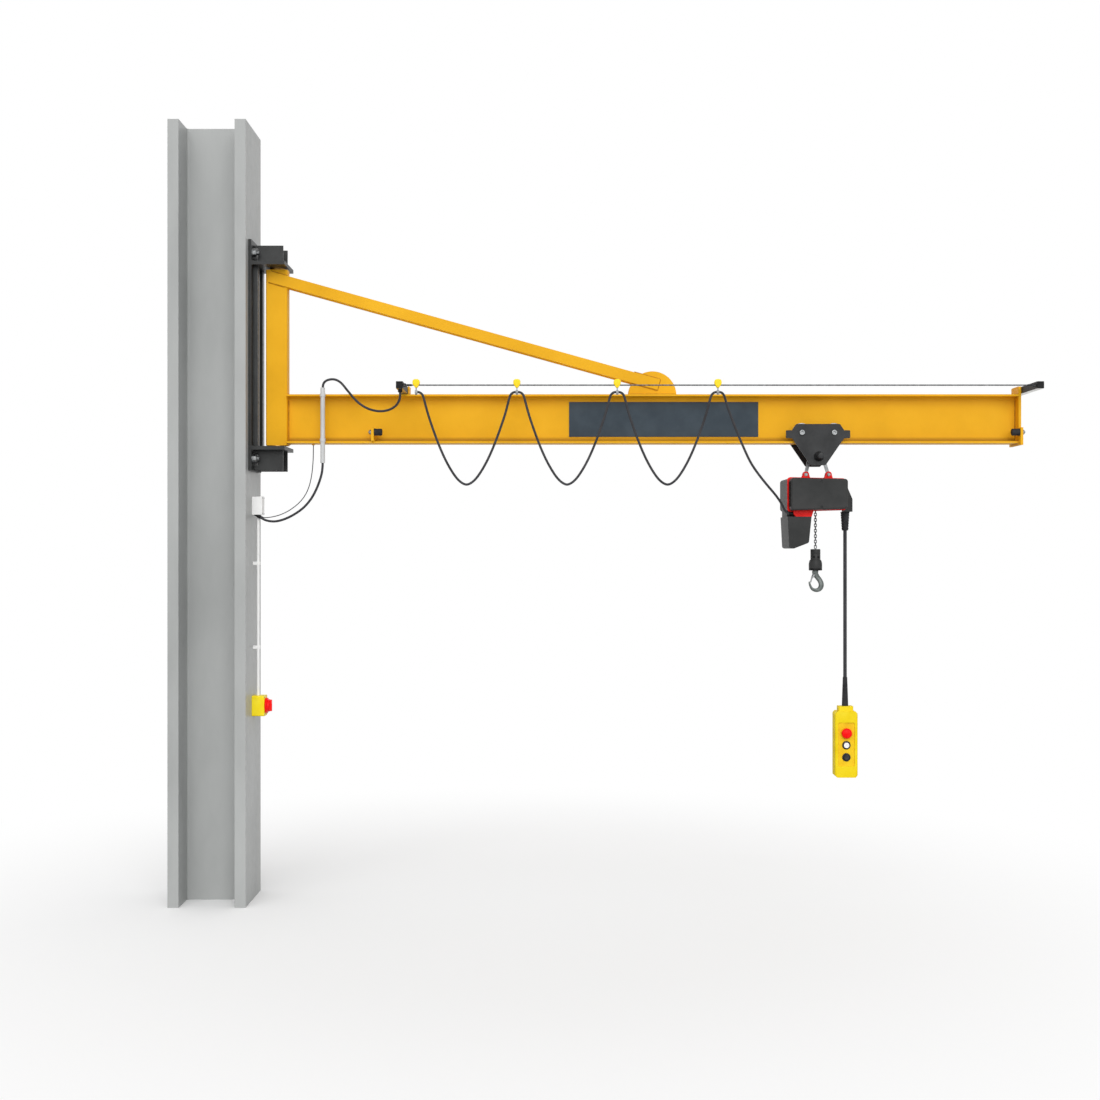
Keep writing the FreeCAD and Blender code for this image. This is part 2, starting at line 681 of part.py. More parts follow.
def isolator_knob():
    """Round handle with a raised grip bar, on a spindle."""
    z = knob_z()
    face = FACE_X + ISOLATOR_OUT + FACE_CLEARANCE
    ring = rod(KNOB_RING_R, V(face, 0, z), X_AXIS, KNOB_RING)
    ring = ring.fuse(rod(KNOB_R, V(face + KNOB_RING, 0, z), X_AXIS, KNOB_OUT - KNOB_GRIP_PROUD))
    grip = block(face + KNOB_RING, face + KNOB_RING + KNOB_OUT, -KNOB_GRIP / 2, KNOB_GRIP / 2,
                 z - KNOB_R + KNOB_GRIP_IN, z + KNOB_R - KNOB_GRIP_IN)
    spindle = rod(SPINDLE_R, V(face - SPINDLE_DEEP, 0, z), X_AXIS, SPINDLE_DEEP)
    return ring.fuse([grip, spindle]).removeSplitter()


def post():
    """Rectangular hollow section with end caps and a bearing pin at each end."""
    def section(shrink, radius, low, high):
        half_x = POST_X / 2 - shrink
        half_y = POST_Y / 2 - shrink
        solid = block(SLEW_X - half_x, SLEW_X + half_x, -half_y, half_y, low, high)
        return rounded_edges(solid, radius, lambda edge: along(edge, Z_AXIS))

    tube = section(0, POST_CORNER, POST_BOTTOM, POST_TOP)
    inside = section(POST_WALL, POST_INNER_CORNER, POST_BOTTOM + POST_CAP, POST_TOP - POST_CAP)
    tube = tube.cut(inside)
    pin_long = BEARING_GAP + SHELF_THICK + PIN_PROUD
    lower = rod(PIN_R, V(SLEW_X, 0, POST_BOTTOM - pin_long), Z_AXIS, pin_long)
    upper = rod(PIN_R, V(SLEW_X, 0, POST_TOP), Z_AXIS, pin_long)
    return tube.fuse([lower, upper])


def jib_beam():
    """I section from the post to the end plate, with a welded boss for the earth wire."""
    half = BEAM_WIDTH / 2
    web = BEAM_WEB / 2
    top_low = BEAM_TOP - BEAM_FLANGE
    outline = [
        (-half, BEAM_BOTTOM), (half, BEAM_BOTTOM), (half, LOWER_FLANGE_TOP), (web, LOWER_FLANGE_TOP),
        (web, top_low), (half, top_low), (half, BEAM_TOP), (-half, BEAM_TOP), (-half, top_low),
        (-web, top_low), (-web, LOWER_FLANGE_TOP), (-half, LOWER_FLANGE_TOP),
    ]
    points = [V(BEAM_START, y, z) for y, z in outline]
    solid = prism(points, V(BEAM_END - BEAM_START, 0, 0))
    solid = rounded_edges(solid, BEAM_ROOT,
                          lambda edge: along(edge, X_AXIS) and abs(edge.CenterOfMass.y) < web + 1)
    x, y, z = EARTH_ROUTE[0]
    return solid.fuse(rod(EARTH_BOSS_R, V(x, y, z), Z_AXIS, EARTH_BOSS))


def tie_ends():
    """Centres of the tie's two ends in the XZ plane, and its direction."""
    top = V(SLEW_X + TIE_TOP_FROM_AXIS, 0, TIE_TOP_Z)
    foot = V(SLEW_X + TIE_FOOT_FROM_AXIS, 0, TIE_FOOT_Z)
    run = foot - top
    run.normalize()
    return top, foot, run


def tie_bars():
    """Two flat bars, one on each side of the post and of the gussets."""
    top, foot, run = tie_ends()
    across = V(-run.z, 0, run.x) * (TIE_DEPTH / 2)
    bars = []
    for side in (-1, 1):
        y = POST_Y / 2 if side > 0 else -POST_Y / 2 - TIE_THICK
        corners = [top + across, foot + across, foot - across, top - across]
        bars.append(prism([corner + V(0, y, 0) for corner in corners], V(0, TIE_THICK, 0)))
    return Part.makeCompound(bars)


def tie_gussets():
    """Two half-round plates welded on the beam's top flange."""
    plates = []
    x = SLEW_X + GUSSET_FROM_AXIS
    for side in (-1, 1):
        y = side * (POST_Y / 2) - (GUSSET_THICK if side > 0 else 0)
        disc = rod(GUSSET_R, V(x, y, BEAM_TOP + GUSSET_HIGH - GUSSET_R), Y_AXIS, GUSSET_THICK)
        keep = block(x - 2 * GUSSET_R, x + 2 * GUSSET_R, y, y + GUSSET_THICK, BEAM_TOP,
                     BEAM_TOP + 2 * GUSSET_R)
        plates.append(disc.common(keep))
    return Part.makeCompound(plates)


def plate_half():
    """Half the width of the plates that carry the buffers."""
    return BUFFER_Y + BUFFER_R + BUFFER_SIDE


def end_plate():
    """Plate welded across the beam's tip, wide at the buffers and as wide as the beam above them."""
    half = BEAM_WIDTH / 2
    wide = plate_half()
    shoulder = BUFFER_Z + BUFFER_R + PLATE_OVER_BUFFER
    low = BEAM_BOTTOM - END_PLATE_BELOW
    top = BEAM_TOP + END_PLATE_ABOVE
    outline = [(-wide, low), (wide, low), (wide, shoulder), (half, shoulder), (half, top), (-half, top),
               (-half, shoulder), (-wide, shoulder)]
    plate = prism([V(BEAM_END, y, z) for y, z in outline], V(END_PLATE, 0, 0))
    plate = rounded_edges(plate, END_PLATE_CORNER,
                          lambda edge: along(edge, X_AXIS) and edge.CenterOfMass.z > top - 1)
    for side in (-1, 1):
        plate = plate.cut(rod(BUFFER_STUD_R, V(BEAM_END, side * BUFFER_Y, BUFFER_Z), X_AXIS, END_PLATE))
    return plate


def stop_x():
    return SLEW_X + STOP_FROM_AXIS


def end_stop():
    """Plate on each side of the web near the post, which carries the inner buffers."""
    plates = []
    for side in (-1, 1):
        near = BEAM_WEB / 2
        far = plate_half()
        low = LOWER_FLANGE_TOP
        outline = [(near, low + BEAM_ROOT), (near + BEAM_ROOT, low), (far, low), (far, low + STOP_HIGH),
                   (near, low + STOP_HIGH)]
        points = [V(stop_x(), side * y, z) for y, z in outline]
        plate = prism(points, V(STOP_THICK, 0, 0))
        plates.append(plate.cut(rod(BUFFER_STUD_R, V(stop_x(), side * BUFFER_Y, BUFFER_Z), X_AXIS,
                                    STOP_THICK)))
    return Part.makeCompound(plates)


def buffer(x, direction, thick):
    """Rubber buffer on a stud with a nut behind its plate."""
    pieces = []
    for side in (-1, 1):
        seat = V(x, side * BUFFER_Y, BUFFER_Z)
        profile = [(0, 0), (BUFFER_R, 0), (BUFFER_R, BUFFER_LONG - BUFFER_CHAMFER),
                   (BUFFER_R - BUFFER_CHAMFER, BUFFER_LONG), (0, BUFFER_LONG)]
        rubber = revolved(profile, seat, direction)
        behind = thick + BUFFER_NUT_HIGH + BUFFER_STUD_PROUD
        stud = rod(BUFFER_STUD_R, seat - direction * behind, direction, behind)
        nut = hexagon(BUFFER_NUT_AF, seat - direction * thick, -direction, BUFFER_NUT_HIGH)
        pieces.append(rubber.fuse([stud, nut]).removeSplitter())
    return pieces


def end_buffers():
    """Four rubber buffers: two at the inner stop and two at the end plate."""
    inner = buffer(stop_x() + STOP_THICK, X_AXIS, STOP_THICK)
    outer = buffer(BEAM_END, -X_AXIS, END_PLATE)
    return Part.makeCompound(inner + outer)


def sign_panels():
    """Bare panel on each side of the web."""
    x = SLEW_X + PANEL_FROM_AXIS
    panels = []
    for side in (-1, 1):
        y = BEAM_WEB / 2 if side > 0 else -BEAM_WEB / 2 - PANEL_THICK
        panels.append(block(x, x + PANEL_LONG, y, y + PANEL_THICK, PANEL_BOTTOM, PANEL_BOTTOM + PANEL_HIGH))
    return Part.makeCompound(panels)


def bar_place(from_axis):
    x = SLEW_X + from_axis
    return x, x + CABLE_BAR_WIDE


def bar_bottom():
    return BEAM_TOP + CABLE_BAR_FOOT


def cable_bars():
    """Two square tubes across the beam's top, each on a foot plate."""
    bars = []
    for from_axis in (INNER_BAR_FROM_AXIS, OUTER_BAR_FROM_AXIS):
        x0, x1 = bar_place(from_axis)
        z0 = bar_bottom()
        bar = block(x0, x1, -CABLE_BAR_REACH, CABLE_BAR_BACK, z0, z0 + CABLE_BAR_HIGH)
        bar = bar.cut(block(x0 + CABLE_BAR_WALL, x1 - CABLE_BAR_WALL, -CABLE_BAR_REACH, CABLE_BAR_BACK,
                            z0 + CABLE_BAR_WALL, z0 + CABLE_BAR_HIGH - CABLE_BAR_WALL))
        bars.append(bar)
    inner_x0, inner_x1 = bar_place(INNER_BAR_FROM_AXIS)
    foot = block(inner_x0, inner_x1, -BEAM_WIDTH / 2 + CABLE_BAR_FOOT_IN, CABLE_BAR_BACK, BEAM_TOP,
                 bar_bottom())
    bars[0] = bars[0].fuse(foot).removeSplitter()
    return Part.makeCompound(bars)


def bar_bracket():
    """Upright plate welded on the beam beside the inner bar."""
    x = bar_place(INNER_BAR_FROM_AXIS)[1]
    half = BRACKET_WIDE / 2
    return block(x, x + BRACKET_THICK, -half, half, BEAM_TOP, BEAM_TOP + BRACKET_HIGH)


def bar_end_caps():
    """Plastic plugs in the ends of both bars."""
    caps = []
    for from_axis in (INNER_BAR_FROM_AXIS, OUTER_BAR_FROM_AXIS):
        x0, x1 = bar_place(from_axis)
        z0 = bar_bottom()
        for y in (-CABLE_BAR_REACH - CABLE_BAR_CAP, CABLE_BAR_BACK):
            cap = block(x0, x1, y, y + CABLE_BAR_CAP, z0, z0 + CABLE_BAR_HIGH)
            caps.append(rounded_edges(cap, CABLE_BAR_CORNER, lambda edge: along(edge, Y_AXIS)))
    return Part.makeCompound(caps)


def festoon_wire():
    """Taut wire between the two bars, with an eye bolt at each end."""
    x0 = bar_place(INNER_BAR_FROM_AXIS)[1]
    x1 = bar_place(OUTER_BAR_FROM_AXIS)[0]
    wire = rod(WIRE_R, V(x0, WIRE_Y, WIRE_Z), X_AXIS, x1 - x0)
    left = rod(WIRE_EYE_R, V(x0, WIRE_Y, WIRE_Z), X_AXIS, WIRE_EYE_LONG)
    right = rod(WIRE_EYE_R, V(x1 - WIRE_EYE_LONG, WIRE_Y, WIRE_Z), X_AXIS, WIRE_EYE_LONG)
    return wire.fuse([left, right]).removeSplitter()


def tube_place():
    """X and Y of the conduit tube's axis."""
    return SLEW_X + TUBE_FROM_AXIS, -BEAM_WIDTH / 2 - TUBE_R - TUBE_FROM_FLANGE


def conduit_tube():
    """Plastic tube that guards the cable on the beam's front."""
    x, y = tube_place()
    tube = rod(TUBE_R, V(x, y, TUBE_BOTTOM), Z_AXIS, TUBE_TOP - TUBE_BOTTOM)
    return tube.cut(rod(TUBE_R - TUBE_WALL, V(x, y, TUBE_BOTTOM), Z_AXIS, TUBE_TOP - TUBE_BOTTOM))


def tube_grommets():
    """Grommet in each end of the tube, bored for the cable."""
    x, y = tube_place()
    bore = FEED_R + GROMMET_GAP
    spigot = TUBE_R - TUBE_WALL
    profile = [(bore, -GROMMET_SPIGOT), (spigot, -GROMMET_SPIGOT), (spigot, 0), (TUBE_R, 0),
               (TUBE_R, GROMMET_FLANGE), (bore, GROMMET_FLANGE)]
    return [revolved(profile, V(x, y, TUBE_TOP)), revolved(profile, V(x, y, TUBE_BOTTOM), V(0, 0, -1))]


def tube_clamps():
    """Clips that hold the tube to the edges of both flanges, and the tube's two grommets."""
    x, y = tube_place()
    edge_y = -BEAM_WIDTH / 2
    pieces = tube_grommets()
    upper_flange = BEAM_TOP - BEAM_FLANGE
    for flange, low in ((BEAM_BOTTOM, LOWER_FLANGE_TOP - LOWER_CLAMP_DROP),
                        (upper_flange, upper_flange - TUBE_CLAMP_UNDER)):
        ring = rod(TUBE_R + TUBE_CLAMP_WALL, V(x, y, low), Z_AXIS, TUBE_CLAMP_HIGH)
        foot = block(x - TUBE_CLAMP_HALF, x + TUBE_CLAMP_HALF, y, edge_y + TUBE_CLAMP_HOLD,
                     low + BEAM_FLANGE - TUBE_CLAMP_UNDER, low + TUBE_CLAMP_HIGH)
        clamp = ring.fuse(foot).cut(rod(TUBE_R, V(x, y, low), Z_AXIS, TUBE_CLAMP_HIGH))
        pieces.append(clamp.cut(block(x - 2 * TUBE_CLAMP_HALF, x + 2 * TUBE_CLAMP_HALF, edge_y, 0, flange,
                                      flange + BEAM_FLANGE)))
    return Part.makeCompound(pieces)


def glider(x):
    """Tapered glider on the wire, with a stem and the clip that carries the cable."""
    half = GLIDER_WIDE / 2
    ring = [(-GLIDER_HEAD / 2, GLIDER_TOP), (GLIDER_HEAD / 2, GLIDER_TOP), (half, GLIDER_SHOULDER),
            (GLIDER_POINT / 2, GLIDER_LOW), (-GLIDER_POINT / 2, GLIDER_LOW), (-half, GLIDER_SHOULDER)]
    points = [V(x + dx, WIRE_Y - GLIDER_THICK / 2, WIRE_Z + dz) for dx, dz in ring]
    body = prism(points, V(0, GLIDER_THICK, 0))
    body = body.cut(rod(GLIDER_BORE_R, V(x - half, WIRE_Y, WIRE_Z), X_AXIS, GLIDER_WIDE))
    clip_top = CLIP_Z + CLIP_UP
    stem = rod(GLIDER_STEM_R, V(x, WIRE_Y, clip_top), Z_AXIS, WIRE_Z + GLIDER_LOW - clip_top)
    clip = block(x - CLIP_LONG / 2, x + CLIP_LONG / 2, WIRE_Y - CLIP_WIDE / 2, WIRE_Y + CLIP_WIDE / 2,
                 CLIP_Z - CLIP_DOWN, clip_top)
    clip = clip.cut(rod(FESTOON_R + CLIP_GAP, V(x - CLIP_LONG, WIRE_Y, CLIP_Z), X_AXIS, 2 * CLIP_LONG))
    return body.fuse([stem, clip]).removeSplitter()


def festoon_loop(index):
    """Cable loop from one glider to the next."""
    x0 = GLIDER_X[index]
    x1 = GLIDER_X[index + 1]
    left = [(x0 + dx, WIRE_Y, CLIP_Z + dz) for dx, dz in LOOP_HALF]
    right = [(x1 - dx, WIRE_Y, CLIP_Z + dz) for dx, dz in reversed(LOOP_HALF)]
    return cable(left + right, FESTOON_R, f"festoon_loop_{index + 1}")


def trolley_outline():
    """Side plate's outline, both halves."""
    return list(PLATE_HALF) + [(-dx, z) for dx, z in reversed(PLATE_HALF)]


def round_plate(plate):
    """Soften the plate's head, its bumper ears and its foot."""
    heights = [z for dx, z in PLATE_HALF]
    ear_x = max(dx for dx, z in PLATE_HALF)
    for radius, wanted in (
        (PLATE_CORNER, lambda centre: centre.z > max(heights) - 1),
        (PLATE_EAR_CORNER, lambda centre: abs(centre.x - TROLLEY_X) > ear_x - 1),
        (PLATE_FOOT_CORNER, lambda centre: centre.z < min(heights) + 1),
    ):
        plate = rounded_edges(plate, radius, lambda edge: along(edge, Y_AXIS) and wanted(edge.CenterOfMass))
    return plate


def axle_places():
    return [TROLLEY_X + side * WHEEL_SPACING / 2 for side in (-1, 1)]


def trolley_plates():
    """Front and rear side plates with holes for axles and the cross bolt."""
    plates = []
    for side in (-1, 1):
        y = PLATE_GAP / 2 if side > 0 else -PLATE_GAP / 2 - PLATE_THICK
        plate = prism([V(TROLLEY_X + dx, y, z) for dx, z in trolley_outline()], V(0, PLATE_THICK, 0))
        plate = round_plate(plate)
        for x in axle_places():
            plate = plate.cut(rod(AXLE_R, V(x, y, AXLE_Z), Y_AXIS, PLATE_THICK))
        bolt = V(TROLLEY_X + CROSS_BOLT_X, y, CROSS_BOLT_Z)
        plate = plate.cut(rod(CROSS_BOLT_R, bolt, Y_AXIS, PLATE_THICK))
        plates.append(plate)
    return Part.makeCompound(plates)


def trolley_pins():
    """Four stub axles with washers, and the two pins of the suspension."""
    pins = []
    outer = PLATE_GAP / 2 + PLATE_THICK + AXLE_HEAD_PROUD
    inner = WHEEL_INNER_Y - WHEEL_END_PLAY - AXLE_WASHER
    for x in axle_places():
        for side in (-1, 1):
            axle = rod(AXLE_R, V(x, side * inner, AXLE_Z), V(0, side, 0), outer - inner)
            axle = axle.fuse(rod(AXLE_WASHER_R, V(x, side * inner, AXLE_Z), V(0, side, 0), AXLE_WASHER))
            spacer = PLATE_GAP / 2 - WHEEL_OUTER_Y - WHEEL_END_PLAY
            axle = axle.fuse(rod(AXLE_WASHER_R, V(x, side * (PLATE_GAP / 2 - spacer), AXLE_Z),
                                 V(0, side, 0), spacer))
            pins.append(axle.removeSplitter())
    reach = ROD_THICK / 2 + LUG_THICK + LUG_PIN_PROUD
    for dx in (LEFT_LUG_X, RIGHT_LUG_X):
        pins.append(rod(LUG_PIN_R, V(TROLLEY_X + dx, -reach, LUG_PIN_Z), Y_AXIS, 2 * reach))
    return Part.makeCompound(pins)


def wheel_pair(x):
    """Front and rear wheel on one axle line: tread on the flange, rim beside it."""
    wheels = []
    rim_start = max(BEAM_WIDTH / 2 + FLANGE_SIDE_GAP, WHEEL_OUTER_Y - WHEEL_FLANGE_THICK)
    bore = AXLE_R + RUNNING_CLEARANCE
    profile = [(bore, WHEEL_INNER_Y), (WHEEL_R, WHEEL_INNER_Y), (WHEEL_R, rim_start),
               (WHEEL_FLANGE_R, rim_start + WHEEL_FLANGE_SLOPE), (WHEEL_FLANGE_R, WHEEL_OUTER_Y),
               (bore, WHEEL_OUTER_Y)]
    for side in (-1, 1):
        wheels.append(revolved(profile, V(x, 0, AXLE_Z), V(0, side, 0)))
    return Part.makeCompound(wheels)


def cross_bolt():
    """Bolt through both side plates, long at the front under a domed cap, with a nut at the back."""
    x = TROLLEY_X + CROSS_BOLT_X
    plate = PLATE_GAP / 2 + PLATE_THICK
    front = -plate - CROSS_BOLT_FRONT
    back = plate + CROSS_BOLT_BACK - front
    profile = [(0, 0), (CROSS_BOLT_CAP_R - CROSS_BOLT_DOME, 0), (CROSS_BOLT_CAP_R, CROSS_BOLT_DOME),
               (CROSS_BOLT_CAP_R, CROSS_BOLT_CAP), (CROSS_BOLT_R, CROSS_BOLT_CAP), (CROSS_BOLT_R, back),
               (0, back)]
    bolt = revolved(profile, V(x, front, CROSS_BOLT_Z), Y_AXIS)
    return bolt.fuse(hexagon(CROSS_NUT_AF, V(x, plate, CROSS_BOLT_Z), Y_AXIS, CROSS_NUT)).removeSplitter()


def suspension_yoke():
    """Block on the cross bolt with the two eye rods that carry the hoist."""
    x = TROLLEY_X + CROSS_BOLT_X
    half = YOKE_LONG / 2
    yoke = block(x - half, x + half, -YOKE_WIDE / 2, YOKE_WIDE / 2, CROSS_BOLT_Z - YOKE_HIGH / 2,
                 CROSS_BOLT_Z + YOKE_HIGH / 2)
    rods = []
    for dx, top in ((LEFT_LUG_X, -half + ROD_WIDE / 2), (RIGHT_LUG_X, half - ROD_WIDE / 2)):
        low = V(TROLLEY_X + dx, 0, LUG_PIN_Z)
        high = V(x + top, 0, CROSS_BOLT_Z)
        run = high - low
        run.normalize()
        across = V(run.z, 0, -run.x) * (ROD_WIDE / 2)
        corners = [low + across, high + across, high - across, low - across]
        strap = prism([corner - V(0, ROD_THICK / 2, 0) for corner in corners], V(0, ROD_THICK, 0))
        eye = rod(ROD_EYE_R, low - V(0, ROD_THICK / 2, 0), Y_AXIS, ROD_THICK)
        strap = strap.fuse(eye).cut(rod(LUG_PIN_R, low - V(0, ROD_THICK, 0), Y_AXIS, 2 * ROD_THICK))
        rods.append(strap)
    solid = yoke.fuse(rods)
    front = V(x, -YOKE_WIDE, CROSS_BOLT_Z)
    return solid.cut(rod(CROSS_BOLT_R, front, Y_AXIS, 2 * YOKE_WIDE)).removeSplitter()


def hoist_edges(x):
    """Height of the covers' underside and top at an X: they close in towards the right."""
    share = (x - TROLLEY_X - HOIST_LEFT) / (HOIST_RIGHT - HOIST_LEFT)
    return HOIST_BOTTOM + HOIST_BOTTOM_RISE * share, HOIST_TOP - HOIST_TOP_FALL * share


def hoist_shape(x0, x1, y0, y1, proud):
    """Tapered block with rounded corners, proud of the covers' outline by a given amount."""
    corners = []
    for x, order in ((x0, 1), (x1, -1)):
        low, top = hoist_edges(x)
        corners.extend([V(x, y0, top + proud), V(x, y0, low - proud)][::order])
    body = prism(corners, V(0, y1 - y0, 0))
    return rounded_edges(body, HOIST_CORNER, lambda edge: along(edge, Y_AXIS))


def frame_top(x, y):
    """Point on the frame's sloping top."""
    return V(x, y, hoist_edges(x)[1] + FRAME_PROUD)


def hoist_lugs():
    """Two clevises on the hoist, each of two tapered ears cut off at the frame's sloping top."""
    ears = []
    for dx in (LEFT_LUG_X, RIGHT_LUG_X):
        x = TROLLEY_X + dx
        for y in (-ROD_THICK / 2 - LUG_THICK, ROD_THICK / 2):
            wide = [frame_top(x - LUG_BASE, y), frame_top(x + LUG_BASE, y)]
            feet = [frame_top(x - LUG_BASE / 2, y), frame_top(x + LUG_BASE / 2, y)]
            head = [V(x + LUG_TOP_R, y, LUG_PIN_Z), V(x - LUG_TOP_R, y, LUG_PIN_Z)]
            above = [corner + Z_AXIS * (2 * LUG_BASE) for corner in reversed(wide)]
            thick = V(0, LUG_THICK, 0)
            ear = prism(feet + head, thick).fuse(rod(LUG_TOP_R, V(x, y, LUG_PIN_Z), Y_AXIS, LUG_THICK))
            ear = ear.removeSplitter().common(prism(wide + above, thick))
            ears.append(ear.cut(rod(LUG_PIN_R, V(x, y, LUG_PIN_Z), Y_AXIS, LUG_THICK)))
    return Part.makeCompound(ears)


def hoist_frame():
    """Middle frame of the hoist with the chain guide under it."""
    half = FRAME_THICK / 2
    body = hoist_shape(TROLLEY_X + HOIST_LEFT - FRAME_PROUD, TROLLEY_X + HOIST_RIGHT + FRAME_PROUD, -half,
                       half, FRAME_PROUD)
    left = TROLLEY_X + GUIDE_LEFT
    right = TROLLEY_X + GUIDE_RIGHT
    low = GUIDE_BOTTOM
    outline = [(left, hoist_edges(left)[0]), (right, hoist_edges(right)[0]), (right - GUIDE_SLOPE, low),
               (left + GUIDE_CORNER, low), (left, low + GUIDE_CORNER)]
    guide = prism([V(x, GUIDE_FRONT_Y, z) for x, z in outline], V(0, GUIDE_BACK_Y - GUIDE_FRONT_Y, 0))
    inner = prism([V(x, -half, z) for x, z in (outline[1], outline[0], (left, CHAIN_TOP + HOIST_CORNER),
                                               (right, CHAIN_TOP + HOIST_CORNER))], V(0, 2 * half, 0))
    body = body.fuse([guide, inner]).removeSplitter()
    shaft_r = CHAIN_INNER_WIDTH / 2 + CHAIN_WIRE + SHAFT_CLEARANCE
    shaft_start = V(TROLLEY_X, 0, CHAIN_TOP - HOIST_CORNER)
    return body.cut(rod(shaft_r, shaft_start, Z_AXIS, SHAFT_DEEP + HOIST_CORNER))


def hoist_cover(extra_left, y0, y1, outer):
    """Cover with rounded corners, a softened outer face and two screw recesses in it."""
    cover = hoist_shape(TROLLEY_X + HOIST_LEFT - extra_left, TROLLEY_X + HOIST_RIGHT, y0, y1, 0)
    cover = rounded_edges(cover, COVER_SOFT, lambda edge: abs(edge.CenterOfMass.y - outer) < 0.5)
    x = TROLLEY_X + COVER_SCREW_X
    low, top = hoist_edges(x)
    inward = V(0, 1 if outer == y0 else -1, 0)
    for z in (low + COVER_SCREW_IN, top - COVER_SCREW_IN):
        cover = cover.cut(rod(COVER_SCREW_R, V(x, outer, z), inward, COVER_SCREW_DEEP))
    return cover


def hoist_front_cover():
    return hoist_cover(0, HOIST_FRONT_Y, -FRAME_THICK / 2, HOIST_FRONT_Y)


def hoist_rear_cover():
    return hoist_cover(BACK_COVER_EXTRA, FRAME_THICK / 2, HOIST_BACK_Y, HOIST_BACK_Y)


def chain_container():
    """Tapered chain box with a bottom that rises to the right."""
    x0 = TROLLEY_X + CONTAINER_LEFT
    x1 = TROLLEY_X + CONTAINER_RIGHT
    low_x0 = x0 + CONTAINER_LEFT_TAPER
    low_x1 = x1 - CONTAINER_RIGHT_TAPER
    top = GUIDE_BOTTOM
    low = CONTAINER_BOTTOM
    outline = [(x0, top), (x1, top), (low_x1, low + CONTAINER_RISE), (low_x0 + CONTAINER_FLAT, low),
               (low_x0, low)]
    solid = prism([V(x, CONTAINER_FRONT_Y, z) for x, z in outline],
                  V(0, CONTAINER_BACK_Y - CONTAINER_FRONT_Y, 0))

    def lower_side(edge):
        place = edge.CenterOfMass
        outside = place.x < low_x0 + 1 or place.x > low_x1 - 1
        return along(edge, Y_AXIS) and outside and place.z < top - 1

    return rounded_edges(solid, CONTAINER_CORNER, lower_side)


def festoon_gland():
    """Gland on the chain guide's left side where the festoon cable enters."""
    x = TROLLEY_X + GUIDE_LEFT
    return rod(GLAND_R, V(x, GLAND_Y, GLAND_Z), -X_AXIS, GLAND_LONG)


def chain_link(z, turned):
    """Oval link: a six-sided wire mitred round an eight-cornered ring."""
    wire_r = (CHAIN_WIRE - CHAIN_GAP) / 2
    half_width = (CHAIN_INNER_WIDTH + CHAIN_WIRE) / 2
    half_long = (CHAIN_PITCH + CHAIN_WIRE) / 2
    eighth = math.pi / 8
    cut = half_width * math.tan(eighth)
    straight = half_long - half_width
    quarter = [(half_width, straight + cut), (cut, half_long)]
    upper = quarter + [(-x, h) for x, h in reversed(quarter)]
    ring = upper + [(x, -h) for x, h in reversed(upper)]
    rings = []
    for index, (x, h) in enumerate(ring):
        before = V(*ring[index - 1], 0)
        after = V(*ring[(index + 1) % len(ring)], 0)
        here = V(x, h, 0)
        inward = (before - here).normalize() + (after - here).normalize()
        inward.normalize()
        corner = []
        for step in range(6):
            angle = step * math.pi / 3
            flat = here - inward * (wire_r * math.cos(angle) / math.cos(eighth))
            corner.append(V(flat.x, wire_r * math.sin(angle), flat.y))
        rings.append(corner)
    faces = []
    for index, near in enumerate(rings):
        far = rings[(index + 1) % len(rings)]
        for step in range(6):
            other = (step + 1) % 6
            side = [near[step], far[step], far[other], near[other], near[step]]
            faces.append(Part.Face(Part.makePolygon(side)))
    link = Part.Solid(Part.Shell(faces))
    if link.Volume < 0:
        link.reverse()
    if turned:
        link.rotate(V(0, 0, 0), Z_AXIS, 90)
    link.translate(V(HOOK_X, 0, z))
    return link


def load_chain():
    """Links from the hoist down to the hook block, each square to the last."""
    links = []
    reach = (CHAIN_PITCH + 2 * CHAIN_WIRE) / 2
    z = BLOCK_TOP + reach
    while z + reach < CHAIN_TOP + SHAFT_DEEP - SHAFT_END_GAP:
        links.append(chain_link(z, len(links) % 2 == 1))
        z += CHAIN_PITCH
    return Part.makeCompound(links)


def hook_block():
    """Sleeve and bell above the hook, bored for the hook's shank."""
    bore = SHANK_R + SHANK_GAP
    cavity = bore + COLLAR_WALL + COLLAR_GAP
    floor = BLOCK_BOTTOM + BELL_FLOOR
    profile = [(0, BLOCK_SPLIT), (0, BLOCK_TOP), (BLOCK_R - SLEEVE_CHAMFER, BLOCK_TOP),
               (BLOCK_R, BLOCK_TOP - SLEEVE_CHAMFER),
               (BLOCK_R, BLOCK_SPLIT), (BELL_TOP_R, BLOCK_SPLIT), (BELL_R, BLOCK_SPLIT - BELL_SLOPE),
               (BELL_R, BLOCK_BOTTOM), (bore, BLOCK_BOTTOM), (bore, floor), (cavity, floor),
               (cavity, BLOCK_SPLIT)]
    return revolved(profile, V(HOOK_X, 0, 0))


def hook_place(dx, dz):
    """Point in the hook's plane from the block's axis and underside."""
    return V(HOOK_X + dx, 0, BLOCK_BOTTOM + dz)


def hook_section(index):
    """Closed egg-shaped wire square to the hook's centreline, thickest towards the inside of the bend."""
    dx, dz, width = HOOK_LINE[index]
    centre = hook_place(dx, dz)
    before = hook_place(*HOOK_LINE[max(index - 1, 0)][:2])
    after = hook_place(*HOOK_LINE[min(index + 1, len(HOOK_LINE) - 1)][:2])
    run = after - before
    run.normalize()
    if index == 0:
        run = V(0, 0, -1)
    inward = Y_AXIS.cross(run)
    skew = HOOK_SKEW * min(index / HOOK_SKEW_STATIONS, 1)
    points = []
    for step in range(12):
        angle = step * math.pi / 6
        half_thick = width * HOOK_THICK / 2 * (1 + skew * math.cos(angle))
        in_plane = inward * (width / 2 * math.cos(angle))
        points.append(centre + in_plane + Y_AXIS * (half_thick * math.sin(angle)))
    curve = Part.BSplineCurve()
    curve.interpolate(points, PeriodicFlag=True)
    return Part.Wire(curve.toShape())


